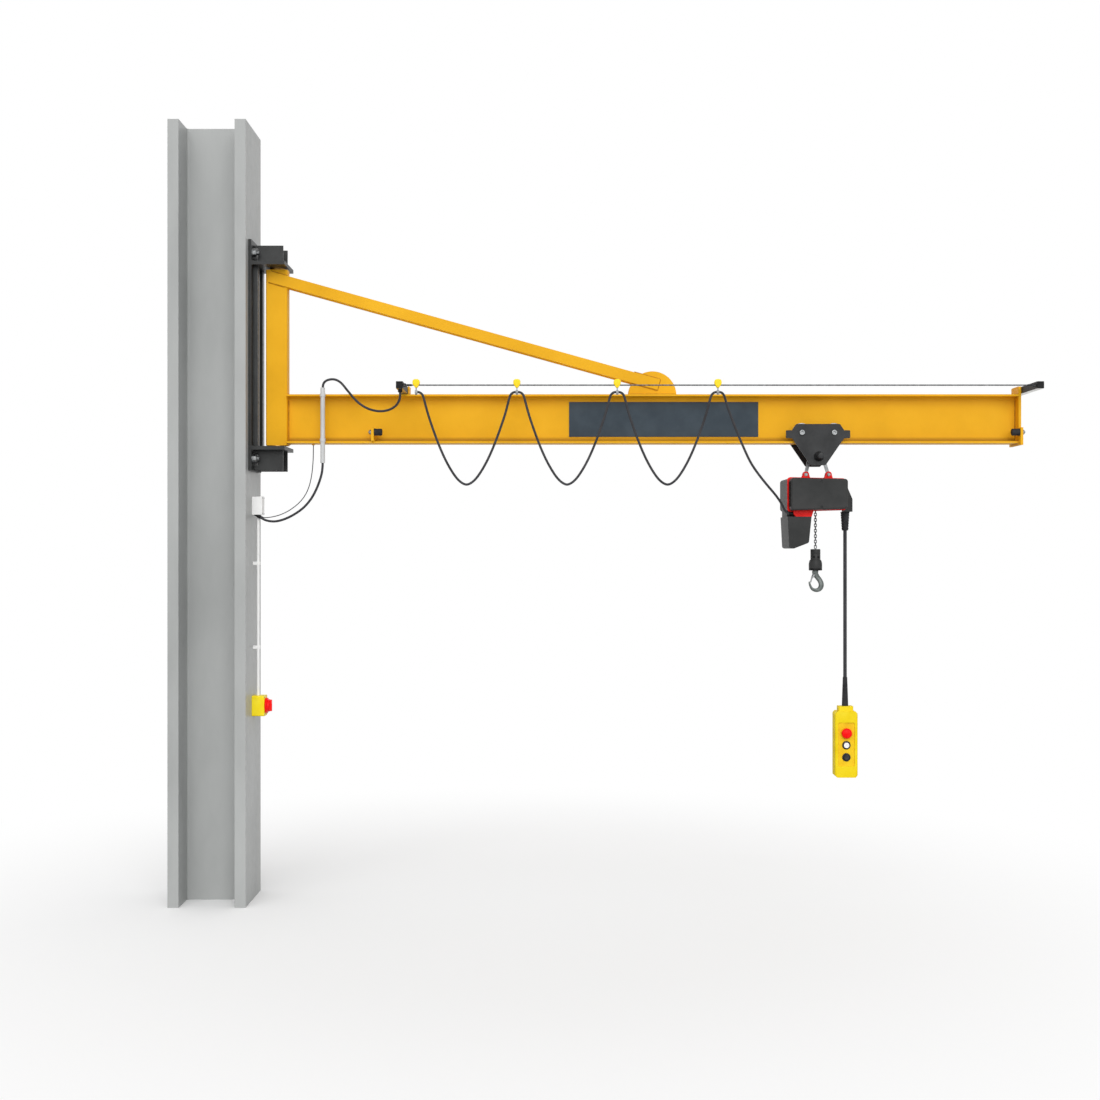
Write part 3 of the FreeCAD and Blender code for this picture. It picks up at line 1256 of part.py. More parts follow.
def load_hook():
    """Forged hook: a collar and shank in the bell, then egg-shaped sections lofted round to the tip."""
    bowl = Part.makeLoft([hook_section(index) for index in range(len(HOOK_LINE))], True, True)
    neck = hook_place(0, HOOK_LINE[0][1])
    shank_top = hook_place(0, BELL_FLOOR + RUNNING_CLEARANCE)
    shank = rod(SHANK_R, neck, Z_AXIS, shank_top.z - neck.z)
    collar = rod(SHANK_R + COLLAR_WALL, shank_top, Z_AXIS, HOOK_COLLAR)
    pin_x, pin_z = LATCH_PIN
    reach = latch_inner() + LATCH_SHEET + LATCH_PIN_PROUD
    pin = rod(LATCH_PIN_R, hook_place(pin_x, pin_z) - V(0, reach, 0), Y_AXIS, 2 * reach)
    return bowl.fuse([shank, collar, pin]).removeSplitter()


def latch_inner():
    """Distance from the hook's middle plane to the inside of the latch's ears."""
    widest = max(width for dx, dz, width in HOOK_LINE[:4])
    return widest * HOOK_THICK / 2 + LATCH_GAP


def hook_latch():
    """Sprung latch of bent sheet: two ears on the hook's pin and a tongue down to the tip."""
    inner = latch_inner()
    outer = inner + LATCH_SHEET
    high = hook_place(*LATCH_HIGH)
    low = hook_place(*LATCH_LOW)
    pin = hook_place(*LATCH_PIN)
    run = low - high
    run.normalize()
    across = V(-run.z, 0, run.x) * LATCH_SHEET
    tongue = prism([corner - V(0, outer, 0) for corner in (high, low, low + across, high + across)],
                   V(0, 2 * outer, 0))
    ears = []
    for y in (-outer, inner):
        sheet = V(0, y, 0)
        corners = [high] + [hook_place(dx, dz) for dx, dz in LATCH_EAR]
        ear = prism([corner + sheet for corner in corners], V(0, LATCH_SHEET, 0))
        boss = rod(LATCH_PIN_R + LATCH_BOSS_WALL, pin + sheet, Y_AXIS, LATCH_SHEET)
        hole = rod(LATCH_PIN_R + RUNNING_CLEARANCE, pin + sheet, Y_AXIS, LATCH_SHEET)
        ears.append(ear.fuse(boss).cut(hole))
    return tongue.fuse(ears).removeSplitter()


def pendant_inlet():
    """Wedge-shaped cable inlet on the hoist's right side."""
    x0 = TROLLEY_X + HOIST_RIGHT
    half = INLET_WIDE / 2
    low = INLET_BOTTOM
    top = low + INLET_HIGH
    outline = [(x0 + FRAME_PROUD, low), (x0 + INLET_LOW_OUT, low), (x0 + INLET_LOW_OUT, low + INLET_LOW_HIGH),
               (x0 + INLET_TOP_OUT, top), (x0 + FRAME_PROUD, top)]
    return prism([V(x, -half, z) for x, z in outline], V(0, INLET_WIDE, 0))


def boot(top_r, tip_r, top_z, tip_z, bore, ribs):
    """Tapered boot with ribs, bored for its cable; z falls from top to tip."""
    step = (tip_z - top_z) / ribs
    profile = [(bore, top_z)]
    for index in range(ribs):
        share = index / ribs
        radius = top_r + (tip_r - top_r) * share
        z = top_z + step * index
        profile.append((radius, z))
        profile.append((radius, z + step * BOOT_RIB_SHARE))
        profile.append((radius - BOOT_GROOVE, z + step * BOOT_RIB_SHARE))
        profile.append((radius - BOOT_GROOVE, z + step))
    profile.append((bore, tip_z))
    return revolved(profile, V(PENDANT_PLACE, 0, 0))


def pendant_boots():
    """Upper boot under the inlet and lower boot above the pendant."""
    upper = boot(BOOT_TOP_R, BOOT_TIP_R, INLET_BOTTOM, INLET_BOTTOM - BOOT_LONG, PENDANT_CABLE_R,
                 UPPER_BOOT_RIBS)
    lower = boot(BOOT_TIP_R, LOWER_BOOT_R, COLLAR_TOP, LOWER_BOOT_TOP, PENDANT_CABLE_R,
                 LOWER_BOOT_RIBS)
    return Part.makeCompound([upper, lower])


def pendant_cable():
    """Straight hanging cable from the inlet to the pendant's collar."""
    return rod(PENDANT_CABLE_R, V(PENDANT_PLACE, 0, COLLAR_TOP), Z_AXIS, INLET_BOTTOM - COLLAR_TOP)


def pendant_face_y():
    return -PENDANT_DEEP / 2 + RECESS_DEEP


def button_places():
    """Height, radius of the well and name of each button."""
    return ((STOP_BUTTON_Z, STOP_STEM_R), (UP_BUTTON_Z, BUTTON_R), (DOWN_BUTTON_Z, BUTTON_R))


def pendant_body():
    """Pendant housing with a recessed front and a collar under the boot."""
    half_x = PENDANT_WIDE / 2
    half_y = PENDANT_DEEP / 2
    x = PENDANT_PLACE
    cut = PENDANT_CHAMFER
    right = [(half_x - cut, PENDANT_TOP), (half_x, PENDANT_TOP - cut), (half_x, PENDANT_BOTTOM + cut),
             (half_x - cut, PENDANT_BOTTOM)]
    outline = right + [(-dx, z) for dx, z in reversed(right)]
    body = prism([V(x + dx, -half_y, z) for dx, z in outline], V(0, PENDANT_DEEP, 0))
    body = rounded_edges(body, PENDANT_CORNER, lambda edge: along(edge, Z_AXIS))
    collar = block(x - COLLAR_WIDE / 2, x + COLLAR_WIDE / 2, -half_y + COLLAR_IN, half_y - COLLAR_IN,
                   PENDANT_TOP, COLLAR_TOP)
    collar = rounded_edges(collar, COLLAR_CORNER, lambda edge: along(edge, Z_AXIS))
    recess = block(x - RECESS_WIDE / 2, x + RECESS_WIDE / 2, -half_y, pendant_face_y(), RECESS_BOTTOM,
                   RECESS_TOP)
    recess = rounded_edges(recess, RECESS_CORNER, lambda edge: along(edge, Y_AXIS))
    body = body.fuse(collar).cut(recess)
    for z, radius in button_places():
        body = body.cut(rod(radius + BUTTON_GAP, V(x, pendant_face_y(), z), Y_AXIS, BUTTON_WELL))
    return body


def button_collars():
    """Round collars in which the buttons run."""
    collars = []
    for z, radius in button_places():
        front = V(PENDANT_PLACE, pendant_face_y() - COLLAR_PROUD, z)
        ring = rod(COLLAR_R, front, Y_AXIS, COLLAR_PROUD)
        collars.append(ring.cut(rod(radius + BUTTON_GAP, front, Y_AXIS, COLLAR_PROUD)))
    return Part.makeCompound(collars)


def button_long(proud):
    """Length of a button that leaves room behind it for its travel."""
    return proud + COLLAR_PROUD + BUTTON_WELL - BUTTON_TRAVEL - BUTTON_PLAY


def push_button(z, radius, proud):
    """Button with a chamfered face, standing out of its collar."""
    front = V(PENDANT_PLACE, pendant_face_y() - COLLAR_PROUD - proud, z)
    long = button_long(proud)
    profile = [(0, 0), (radius - BUTTON_CHAMFER, 0), (radius, BUTTON_CHAMFER), (radius, long), (0, long)]
    return revolved(profile, front, Y_AXIS)


def stop_button():
    """Mushroom head on a stem."""
    front = V(PENDANT_PLACE, pendant_face_y() - COLLAR_PROUD - STOP_PROUD, STOP_BUTTON_Z)
    long = button_long(STOP_PROUD)
    dome = [(STOP_BUTTON_R * share, deep) for share, deep in STOP_DOME]
    return revolved(dome + [(STOP_STEM_R, STOP_HEAD), (STOP_STEM_R, long), (0, long)], front, Y_AXIS)


def parts():
    """Every node by name."""
    nodes = {
        "column": column(),
        "console": console(),
        "console_bolts": console_bolts(),
        "bearing_bushes": bearing_bushes(),
        "junction_box": junction_box(),
        "cable_glands": cable_glands(),
        "service_pipe": service_pipe(),
        "isolator_box": isolator_box(),
        "isolator_knob": isolator_knob(),
        "supply_cable": cable(SUPPLY_ROUTE, SUPPLY_R, "supply_cable"),
        "earth_wire": cable(EARTH_ROUTE, EARTH_R, "earth_wire"),
        "post": post(),
        "jib_beam": jib_beam(),
        "tie_bars": tie_bars(),
        "tie_gussets": tie_gussets(),
        "end_plate": end_plate(),
        "end_stop": end_stop(),
        "end_buffers": end_buffers(),
        "sign_panels": sign_panels(),
        "cable_bars": cable_bars(),
        "bar_bracket": bar_bracket(),
        "bar_end_caps": bar_end_caps(),
        "festoon_wire": festoon_wire(),
        "conduit_tube": conduit_tube(),
        "tube_clamps": tube_clamps(),
        "feed_cable": cable(FEED_ROUTE, FEED_R, "feed_cable"),
        "feed_gland": feed_gland(),
        "trolley_plates": trolley_plates(),
        "trolley_pins": trolley_pins(),
        "cross_bolt": cross_bolt(),
        "suspension_yoke": suspension_yoke(),
        "hoist_lugs": hoist_lugs(),
        "hoist_frame": hoist_frame(),
        "hoist_front_cover": hoist_front_cover(),
        "hoist_rear_cover": hoist_rear_cover(),
        "chain_container": chain_container(),
        "festoon_gland": festoon_gland(),
        "festoon_last_span": cable(LAST_SPAN, FESTOON_R, "festoon_last_span"),
        "load_chain": load_chain(),
        "hook_block": hook_block(),
        "load_hook": load_hook(),
        "hook_latch": hook_latch(),
        "pendant_inlet": pendant_inlet(),
        "pendant_boots": pendant_boots(),
        "pendant_cable": pendant_cable(),
        "pendant_body": pendant_body(),
        "button_collars": button_collars(),
        "stop_button": stop_button(),
        "up_button": push_button(UP_BUTTON_Z, BUTTON_R, BUTTON_PROUD),
        "down_button": push_button(DOWN_BUTTON_Z, BUTTON_R, BUTTON_PROUD),
    }
    for x, name in zip(axle_places(), ("left_wheels", "right_wheels")):
        nodes[name] = wheel_pair(x)
    for index, x in enumerate(GLIDER_X):
        nodes[f"glider_{index + 1}"] = glider(x)
    for index in range(len(GLIDER_X) - 1):
        nodes[f"festoon_loop_{index + 1}"] = festoon_loop(index)
    return nodes


os.makedirs("parts", exist_ok=True)
for name, shape in parts().items():
    if not shape.isValid():
        print("not valid:", name)
    shape.exportStep(f"parts/{name}.step")
    box = shape.BoundBox
    print(f"{name}: {len(shape.Solids)} solids, X {box.XMin:.0f} to {box.XMax:.0f}, "
          f"Y {box.YMin:.0f} to {box.YMax:.0f}, Z {box.ZMin:.0f} to {box.ZMax:.0f}")
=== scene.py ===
"""Dressed model of a slewing jib crane on a steel column, with its chain hoist, festoon and pendant.

Sizes are millimetres in the crane's own frame and become metres where a piece is made.
X runs along the jib, Y away from the front, Z up.
"""
import math

import bpy
import numpy as np
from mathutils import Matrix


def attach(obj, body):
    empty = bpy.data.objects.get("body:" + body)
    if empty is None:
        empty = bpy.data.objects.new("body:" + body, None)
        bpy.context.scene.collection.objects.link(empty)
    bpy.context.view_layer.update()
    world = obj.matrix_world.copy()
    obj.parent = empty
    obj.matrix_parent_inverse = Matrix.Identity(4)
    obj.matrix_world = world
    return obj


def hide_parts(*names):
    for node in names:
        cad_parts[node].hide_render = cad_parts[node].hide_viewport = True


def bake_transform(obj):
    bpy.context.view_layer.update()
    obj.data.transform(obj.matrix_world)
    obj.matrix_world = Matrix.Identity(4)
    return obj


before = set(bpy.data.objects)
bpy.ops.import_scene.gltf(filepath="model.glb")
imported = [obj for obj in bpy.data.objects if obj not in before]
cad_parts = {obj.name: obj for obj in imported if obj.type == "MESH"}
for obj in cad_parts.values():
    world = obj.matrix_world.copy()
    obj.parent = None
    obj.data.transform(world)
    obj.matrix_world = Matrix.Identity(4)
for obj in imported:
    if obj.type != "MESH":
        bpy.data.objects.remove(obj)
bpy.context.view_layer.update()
MM = 0.001
RIGHT = (1, 0, 0)
BACK = (0, 1, 0)
FRONT = (0, -1, 0)
UP = (0, 0, 1)


def placed(name, data):
    """New object of this data, linked to the scene."""
    made = bpy.data.objects.new(name, data)
    bpy.context.scene.collection.objects.link(made)
    return made


# The camera stands level in front of the crane, as the photographer did
view = bpy.data.cameras.new("front_view")
view.lens = 50
view.sensor_width = 36
camera = placed("front_view", view)
camera.location = (1.8675, -8.522, 1.946)
camera.rotation_euler = (math.pi / 2, 0, 0)
bpy.context.scene.camera = camera

# Places taken from the crane's source
BEAM_END = 4461.0
BEAM_LOW = 2538.0
BEAM_TOP = 2808.0
FLANGE = 10.2
WIRE_Y = -330.0
WIRE_Z = 2830.0
CLIP_Z = 2793.0
GLIDER_X = (1150.0, 1690.0, 2228.0, 2768.0)
TROLLEY_X = 3348.0
WHEEL_X = (TROLLEY_X - 89, TROLLEY_X + 89)
AXLE_Z = 2595.0
CROSS_X = 3352.0
CROSS_Z = 2463.0
LUG_X = (3293.5, 3419.5)
LUG_Z = 2366.5
HOIST_LEFT = TROLLEY_X - 160
BLOCK_TOP = 1951.0
BLOCK_LOW = 1832.0
LATCH_X = TROLLEY_X - 10
LATCH_Z = BLOCK_LOW - 24
PENDANT_X = 3513.0
PENDANT_FACE = -37.5
PENDANT_BACK = 43.5
INLET_LOW = 2159
PENDANT_TOP = 1077
BUTTON_Z = (929, 862, 795)
BUFFER_Y = 84
BUFFER_Z = 2597
PLATE_X = 230
LOWER_SHELF = (2497, 2517)
UPPER_SHELF = (3513, 3533)
KNOB_X = 281.8
KNOB_Z = 1079.5

# Distances that the shapes share
CABLE_R = 6.5
EARTH_R = 2.5
PENDANT_CABLE_R = 10
LIFT_DOWN = 1650.0
POLE_R = 0.02
WELD_RIPPLE = 5.0


# Shapes: every skin is rows of points, one row for each step along a path

def unit(vectors):
    """Vectors divided by their length."""
    return vectors / np.linalg.norm(vectors, axis=-1, keepdims=True)


def square_to(axis, first):
    """Unit axis n with two unit vectors u and v square to it: u = n x w and v = n x u, where w is the
    world's axis of number first, or X where n lies close to that one."""
    n = unit(np.array(axis, float))
    w = np.eye(3)[first if abs(n[first]) < 0.9 else 0]
    u = unit(np.cross(n, w))
    return n, u, np.cross(n, u)


def skin(rows, ring=False):
    """Quads between neighbouring points of neighbouring rows. The first and last row are closed flat,
    or joined to each other for a ring. Six times the volume is the sum of a x b . c over the triangles;
    where that is negative every face is turned round, so that all point outwards."""
    count, across = rows.shape[:2]
    ids = np.arange(count * across).reshape(count, across)
    beside = np.roll(ids, -1, 1)
    above = np.roll(ids, -1, 0)
    corner = np.roll(beside, -1, 0)
    last = count if ring else count - 1
    quads = np.stack([ids, beside, corner, above], -1)[:last].reshape(-1, 4)
    points = rows.reshape(-1, 3)
    local = points - points.mean(0)
    a, b, c, d = (local[quads[:, k]] for k in range(4))
    volume = (np.cross(a, b) * c).sum() + (np.cross(a, c) * d).sum()
    faces = [quads]
    if not ring:
        for index, order in ((0, -1), (count - 1, 1)):
            cap = ids[index, ::order]
            edge = local[cap]
            volume += (np.cross(edge, np.roll(edge, -1, 0)) * edge.mean(0)).sum()
            faces.append(cap[None])
    if volume < 0:
        faces = [face[:, ::-1] for face in faces]
    return points, faces


def tube(path, radius, sides, across=BACK):
    """Round section carried along a path: centre + r (cos t side + sin t up), where side is the across
    vector made square to the path and up is square to both."""
    path = np.asarray(path, float)
    across = np.array(across, float)
    run = unit(np.gradient(path, axis=0))
    side = unit(across - (run @ across)[:, None] * run)
    up = np.cross(run, side)
    turn = np.linspace(0, 2 * np.pi, sides, endpoint=False)[None, :, None]
    radius = np.broadcast_to(radius, len(path))[:, None, None]
    return path[:, None] + radius * (np.cos(turn) * side[:, None] + np.sin(turn) * up[:, None])


def turned(profile, base, axis=UP, sides=48):
    """Profile of (radius, distance) turned about an axis: base + h axis + r (cos t u + sin t v). A pole
    is a closed ring too small to see."""
    profile = np.asarray(profile, float)
    axis, u, v = square_to(axis, 1)
    turn = np.linspace(0, 2 * np.pi, sides, endpoint=False)[None, :, None]
    radius = np.maximum(profile[:, 0], POLE_R)[:, None, None]
    middle = np.array(base, float) + profile[:, 1:2] * axis
    return middle[:, None] + radius * (np.cos(turn) * u + np.sin(turn) * v)


def rounded(points, radii, steps=6):
    """Closed outline with each corner P replaced by the curve (1-s)^2 A + 2s(1-s) P + s^2 B, where A
    and B are a radius away from P along its two sides."""
    points = np.asarray(points, float)
    radii = np.broadcast_to(radii, len(points))[:, None]
    a = points + unit(np.roll(points, 1, 0) - points) * radii
    b = points + unit(np.roll(points, -1, 0) - points) * radii
    s = np.linspace(0, 1, steps)[None, :, None]
    curve = (1 - s) ** 2 * a[:, None] + 2 * s * (1 - s) * points[:, None] + s ** 2 * b[:, None]
    return curve.reshape(-1, 2)


def inset(outline, amount):
    """Outline moved inwards: each point moves along (n1 + n2) / (1 + n1 . n2), the mean of the normals
    n1 and n2 of its two sides."""
    ahead = unit(np.roll(outline, -1, 0) - outline)
    behind = np.roll(ahead, 1, 0)
    n1 = np.stack([-behind[:, 1], behind[:, 0]], -1)
    n2 = np.stack([-ahead[:, 1], ahead[:, 0]], -1)
    following = np.roll(outline, -1, 0)
    area = (outline[:, 0] * following[:, 1] - outline[:, 1] * following[:, 0]).sum()
    return outline + np.sign(area) * amount * (n1 + n2) / (1 + (n1 * n2).sum(1, keepdims=True))


def slab(outline, levels, plane):
    """Flat outline repeated at several heights, each (height, inset). The plane names the outline's two
    axes."""
    layers = []
    for height, amount in levels:
        flat = inset(outline, amount)
        third = np.full(len(flat), float(height))
        columns = {"xy": (flat[:, 0], flat[:, 1], third), "xz": (flat[:, 0], third, flat[:, 1]),
                   "yz": (third, flat[:, 0], flat[:, 1])}[plane]
        layers.append(np.stack(columns, -1))
    return np.array(layers)


def soft_levels(low, high, soft):
    """Levels from low to high whose ends curve in by a quarter circle of radius soft."""
    turn = np.linspace(0, np.pi / 2, 4)
    start = [(low + soft * (1 - math.cos(t)), soft * (1 - math.sin(t))) for t in turn]
    end = [(high - (h - low), amount) for h, amount in reversed(start)]
    return start + end


def rectangle(a0, a1, b0, b1, corner):
    """Outline of a rectangle whose corners are rounded."""
    return rounded([(a0, b0), (a1, b0), (a1, b1), (a0, b1)], corner)


def block(x0, x1, y0, y1, z0, z1, corner, soft, plane="xy"):
    """Box with rounded corners in one plane and soft edges at its two ends."""
    a0, a1, b0, b1, low, high = {"xy": (x0, x1, y0, y1, z0, z1), "xz": (x0, x1, z0, z1, y0, y1),
                                 "yz": (y0, y1, z0, z1, x0, x1)}[plane]
    return slab(rectangle(a0, a1, b0, b1, corner), soft_levels(low, high, soft), plane)


def band(outline, thick, near, far):
    """Closed band between two Y values: its outer edge is the upright outline, its inner edge lies
    thick inside it."""
    inner = inset(outline, thick)
    section = ((outline, near), (outline, far), (inner, far), (inner, near))
    edges = [np.stack([flat[:, 0], np.full(len(flat), y), flat[:, 1]], -1) for flat, y in section]
    return skin(np.stack(edges, 1), ring=True)


def flowing(points, steps):
    """Catmull-Rom curve through the given rows: half of (2P1 + (P2-P0)s + (2P0-5P1+4P2-P3)s^2 +
    (3P1-P0-3P2+P3)s^3) between P1 and P2."""
    points = np.asarray(points, float)
    padded = np.concatenate([2 * points[:1] - points[1:2], points, 2 * points[-1:] - points[-2:-1]])
    p0, p1, p2, p3 = (padded[k:len(padded) - 3 + k, None] for k in range(4))
    s = np.linspace(0, 1, steps, endpoint=False)[None, :, None]
    curve = 0.5 * (2 * p1 + (p2 - p0) * s + (2 * p0 - 5 * p1 + 4 * p2 - p3) * s ** 2
                   + (3 * p1 - p0 - 3 * p2 + p3) * s ** 3)
    return np.concatenate([curve.reshape(-1, points.shape[1]), points[-1:]])


def weld(start, end, radius):
    """Weld bead: a tube of radius r (1 + 0.1 |sin(pi d / ripple)|) at the distance d along it, with
    thin ends."""
    start = np.array(start, float)
    end = np.array(end, float)
    length = np.linalg.norm(end - start)
    steps = max(int(length / (WELD_RIPPLE / 4)), 8)
    share = np.linspace(0, 1, steps)
    path = start + share[:, None] * (end - start)
    ripple = 1 + 0.1 * np.abs(np.sin(np.pi * share * length / WELD_RIPPLE))
    ripple[[0, -1]] = 0.4
    across = BACK if abs(unit(end - start)[1]) < 0.9 else UP
    return tube(path, radius * ripple, 8, across)


def hexagon(flats, base, axis, high, chamfer=1.5):
    """Nut or bolt head: a six-cornered ring, whose corners are cut back at its outer face."""
    turn = np.arange(6) * np.pi / 3 + np.pi / 6
    corners = np.stack([np.cos(turn), np.sin(turn)], -1) * flats / math.sqrt(3)
    flat = rounded(corners, flats * 0.06, 4)
    axis, u, v = square_to(axis, 2)
    rows = []
    for height, amount in ((0, 0.4), (0.4, 0), (high - chamfer, 0), (high, chamfer)):
        ring = inset(flat, amount)
        rows.append(np.array(base, float) + height * axis + ring[:, :1] * u + ring[:, 1:] * v)
    return np.array(rows)


def thread(radius, start, length, pitch):
    """Profile of a threaded end: the radius falls and rises by a quarter of the pitch once a turn."""
    steps = int(length / pitch) * 4
    h = np.linspace(0, length, steps)
    r = radius - 0.25 * pitch * np.abs(np.sin(np.pi * h / pitch))
    r[0] = r[-1] = radius - 0.3 * pitch
    return np.stack([r, start + h], -1)


# Materials

def linear(code):
    """sRGB hex code as linear red, green, blue and alpha."""
    value = np.array([int(code[k:k + 2], 16) for k in (1, 3, 5)]) / 255
    return (*np.where(value <= 0.04045, value / 12.92, ((value + 0.055) / 1.055) ** 2.4), 1.0)


def node(tree, kind, settings=None, links=None):
    """Adds one node. Settings name its sockets or its own properties; links name sockets and what feeds
    them."""
    made = tree.nodes.new(kind)
    for key, value in (settings or {}).items():
        if isinstance(key, str) and key not in made.inputs:
            setattr(made, key, value)
        else:
            made.inputs[key].default_value = value
    for key, source in (links or {}).items():
        tree.links.new(source, made.inputs[key])
    return made


SHADE_STOPS = (0.34, 0.5, 0.68)
CRYSTAL_TINT = 0.45
CRYSTAL_COLOUR = 0.35


def finish(name, colours, patch, grain, depth, rough, sheen=0.5, metal=0.0, stretch=(1, 1, 1),
           cells=False):
    """Material in three shades that wander in patches of about patch mm, with a grain of about grain mm
    that moves the roughness between two values and stands depth mm high. Cells draws the grain as
    crystals, each with a tint of its own."""
    made = bpy.data.materials.new(name)
    made.use_nodes = True
    tree = made.node_tree
    body = tree.nodes["Principled BSDF"]
    place = node(tree, "ShaderNodeTexCoord").outputs["Object"]
    spread = node(tree, "ShaderNodeMapping", {"Scale": stretch}, {"Vector": place}).outputs["Vector"]
    wander = node(tree, "ShaderNodeTexNoise",
                  {"Scale": 1 / (patch * MM), "Detail": 5.0, "Roughness": 0.55}, {"Vector": spread})
    shades = node(tree, "ShaderNodeValToRGB", None, {"Fac": wander.outputs["Fac"]})
    shades.color_ramp.elements.new(SHADE_STOPS[1])
    for stop, place_at, colour in zip(shades.color_ramp.elements, SHADE_STOPS, colours):
        stop.position = place_at
        stop.color = linear(colour)
    colour = shades.outputs["Color"]
    fine_scale = {"Scale": 1 / (grain * MM)}
    if cells:
        fine = node(tree, "ShaderNodeTexVoronoi", fine_scale, {"Vector": spread})
        parted = node(tree, "ShaderNodeSeparateColor", None, {"Color": fine.outputs["Color"]})
        height = parted.outputs[0]
        tint = node(tree, "ShaderNodeMix",
                    {"data_type": "RGBA", "blend_type": "SOFT_LIGHT", 0: CRYSTAL_TINT},
                    {6: colour, 7: fine.outputs["Color"]})
        colour = node(tree, "ShaderNodeHueSaturation", {"Saturation": CRYSTAL_COLOUR},
                      {"Color": tint.outputs[2]}).outputs["Color"]
    else:
        fine = node(tree, "ShaderNodeTexNoise", {**fine_scale, "Detail": 3.0}, {"Vector": spread})
        height = fine.outputs["Fac"]
    gloss = node(tree, "ShaderNodeMapRange",
                 {"From Min": 0.3, "From Max": 0.7, "To Min": rough[0], "To Max": rough[1]},
                 {"Value": height})
    relief = node(tree, "ShaderNodeBump", {"Strength": 1.0, "Distance": depth * MM}, {"Height": height})
    tree.links.new(colour, body.inputs["Base Color"])
    tree.links.new(gloss.outputs["Result"], body.inputs["Roughness"])
    tree.links.new(relief.outputs["Normal"], body.inputs["Normal"])
    body.inputs["Specular IOR Level"].default_value = sheen
    body.inputs["Metallic"].default_value = metal
    return made


# Sprayed primer-grey paint on a rolled section: broad soft patches, a faint mill grain along its height
# and a sheen that mirrors the box beside it. The grain is drawn 14 mm coarse, because the real 2 mm one
# is too fine to show.
column_grey = finish(
    "grey_paint_on_rolled_steel", ("#A1A3A2", "#AAACAB", "#B1B3B2"), 420, 14, 0.2, (0.3, 0.44),
    sheen=0.24, stretch=(1, 1, 0.35))
# Dark grey enamel on welded plate: even colour with scuffed, duller patches
console_grey = finish(
    "dark_enamel_on_plate", ("#252626", "#2D2E2E", "#363737"), 180, 9, 0.2, (0.35, 0.52), sheen=0.28)
# Yellow polyester enamel: warm even colour, a slight orange peel that breaks up the reflections
YELLOW_ENAMEL = (("#E2A614", "#EAAD18", "#F0B41E"), 380, 10, 0.1, (0.44, 0.56), 0.13)
crane_yellow = finish("yellow_enamel", *YELLOW_ENAMEL)
# The same enamel on the beam, with painted shade in the root above the lower flange
root_shaded_beam_yellow = finish("yellow_enamel_on_beam", *YELLOW_ENAMEL)
# Weld beads under the same enamels are drawn darker than the enamel, as painted shade along the joints
shaded_weld_yellow = finish(
    "enamelled_weld_bead", ("#A8710C", "#BE8213", "#D19418"), 22, 4, 0.3, (0.42, 0.6), sheen=0.2)
shaded_weld_dark = finish(
    "dark_enamelled_weld_bead", ("#1E1F1F", "#282929", "#323333"), 22, 4, 0.3, (0.42, 0.6), sheen=0.25)
# Zinc-plated steel: cool bright metal, cloudy where the passivation is uneven
zinc = finish(
    "zinc_plated_steel", ("#686A6B", "#7E8081", "#929494"), 16, 3, 0.08, (0.36, 0.5), metal=1.0)
# Blackened screws and eyes: near black with a dull shine
black_steel = finish(
    "blackened_steel", ("#141415", "#202122", "#303132"), 12, 2, 0.08, (0.4, 0.55), metal=0.5)
# Turned bearing bronze: warm brown metal, smooth and faintly clouded
bronze = finish(
    "bearing_bronze", ("#9A743A", "#B08A4C", "#C29A5C"), 20, 3, 0.06, (0.3, 0.42), metal=1.0)
# Near-black painted shade on the front cover's left side: dry, with next to no shine
cover_side_shade_black = finish("black_painted_shade", ("#161617", "#1D1D1E", "#242425"), 20, 3, 0.1, (0.7, 0.85), sheen=0.03)
# Moulded white box plastic: clean, with the fine spark-eroded grain of its mould
box_white = finish(
    "white_box_plastic", ("#F6F6F5", "#FAFAF9", "#FCFCFB"), 90, 3, 0.08, (0.4, 0.5), sheen=0.3)
# Moulded switch plastics: bright, saturated and evenly coloured, the turned handle a little glossier
isolator_yellow = finish(
    "yellow_switch_plastic", ("#FEE010", "#FFE61A", "#FFEA30"), 60, 3, 0.08, (0.35, 0.45), sheen=0.25)
isolator_red = finish(
    "red_switch_plastic", ("#F0120F", "#FB1B19", "#FC2C26"), 60, 3, 0.06, (0.34, 0.44), sheen=0.12)
# PVC jacket of the cables: matt, faintly greasy where it has been handled
jacket = finish(
    "pvc_cable_jacket", ("#303033", "#38383B", "#3F3F43"), 90, 3, 0.04, (0.5, 0.6), sheen=0.2)
# Bare panel with a slate-blue film: flat, smooth and slightly uneven in tone
slate = finish(
    "slate_panel_film", ("#323D46", "#38434C", "#3F4A53"), 160, 5, 0.05, (0.38, 0.5), sheen=0.15)
# Moulded rubber: deep grey, dry, with a fine nap
rubber = finish(
    "moulded_rubber", ("#222224", "#2B2B2D", "#353537"), 30, 2.5, 0.15, (0.62, 0.78), sheen=0.2)
# Cable bars: hot-dip galvanised channel, grey crystals of about 12 mm, each with its own brightness.
# Every face that doesn't face straight down is covered with near-black painted shade, so only the
# underside shows the galvanising
galvanised = finish(
    "galvanised_channel", ("#A7A59C", "#B8B6AE", "#C6C4BD"), 60, 12, 0.05, (0.24, 0.4),
    cells=True, metal=0.9)
# End plugs and glands: black moulded plastic that takes the light away
cap_black = finish(
    "black_end_plug", ("#0E0E0F", "#151516", "#1E1E20"), 30, 3, 0.1, (0.45, 0.6), sheen=0.15)
# Stranded wire rope, greased: dark metal with brighter crowns
rope_steel = finish(
    "greased_wire_rope", ("#3E3F42", "#5B5D60", "#7C7E80"), 14, 2, 0.08, (0.4, 0.55), metal=0.8)
# Rigid conduit: pale grey extruded plastic with a soft sheen along its length
conduit = finish(
    "light_conduit_plastic", ("#C0C1C1", "#C8C9C9", "#CFD0D0"), 120, 4, 0.06, (0.34, 0.46), sheen=0.3)
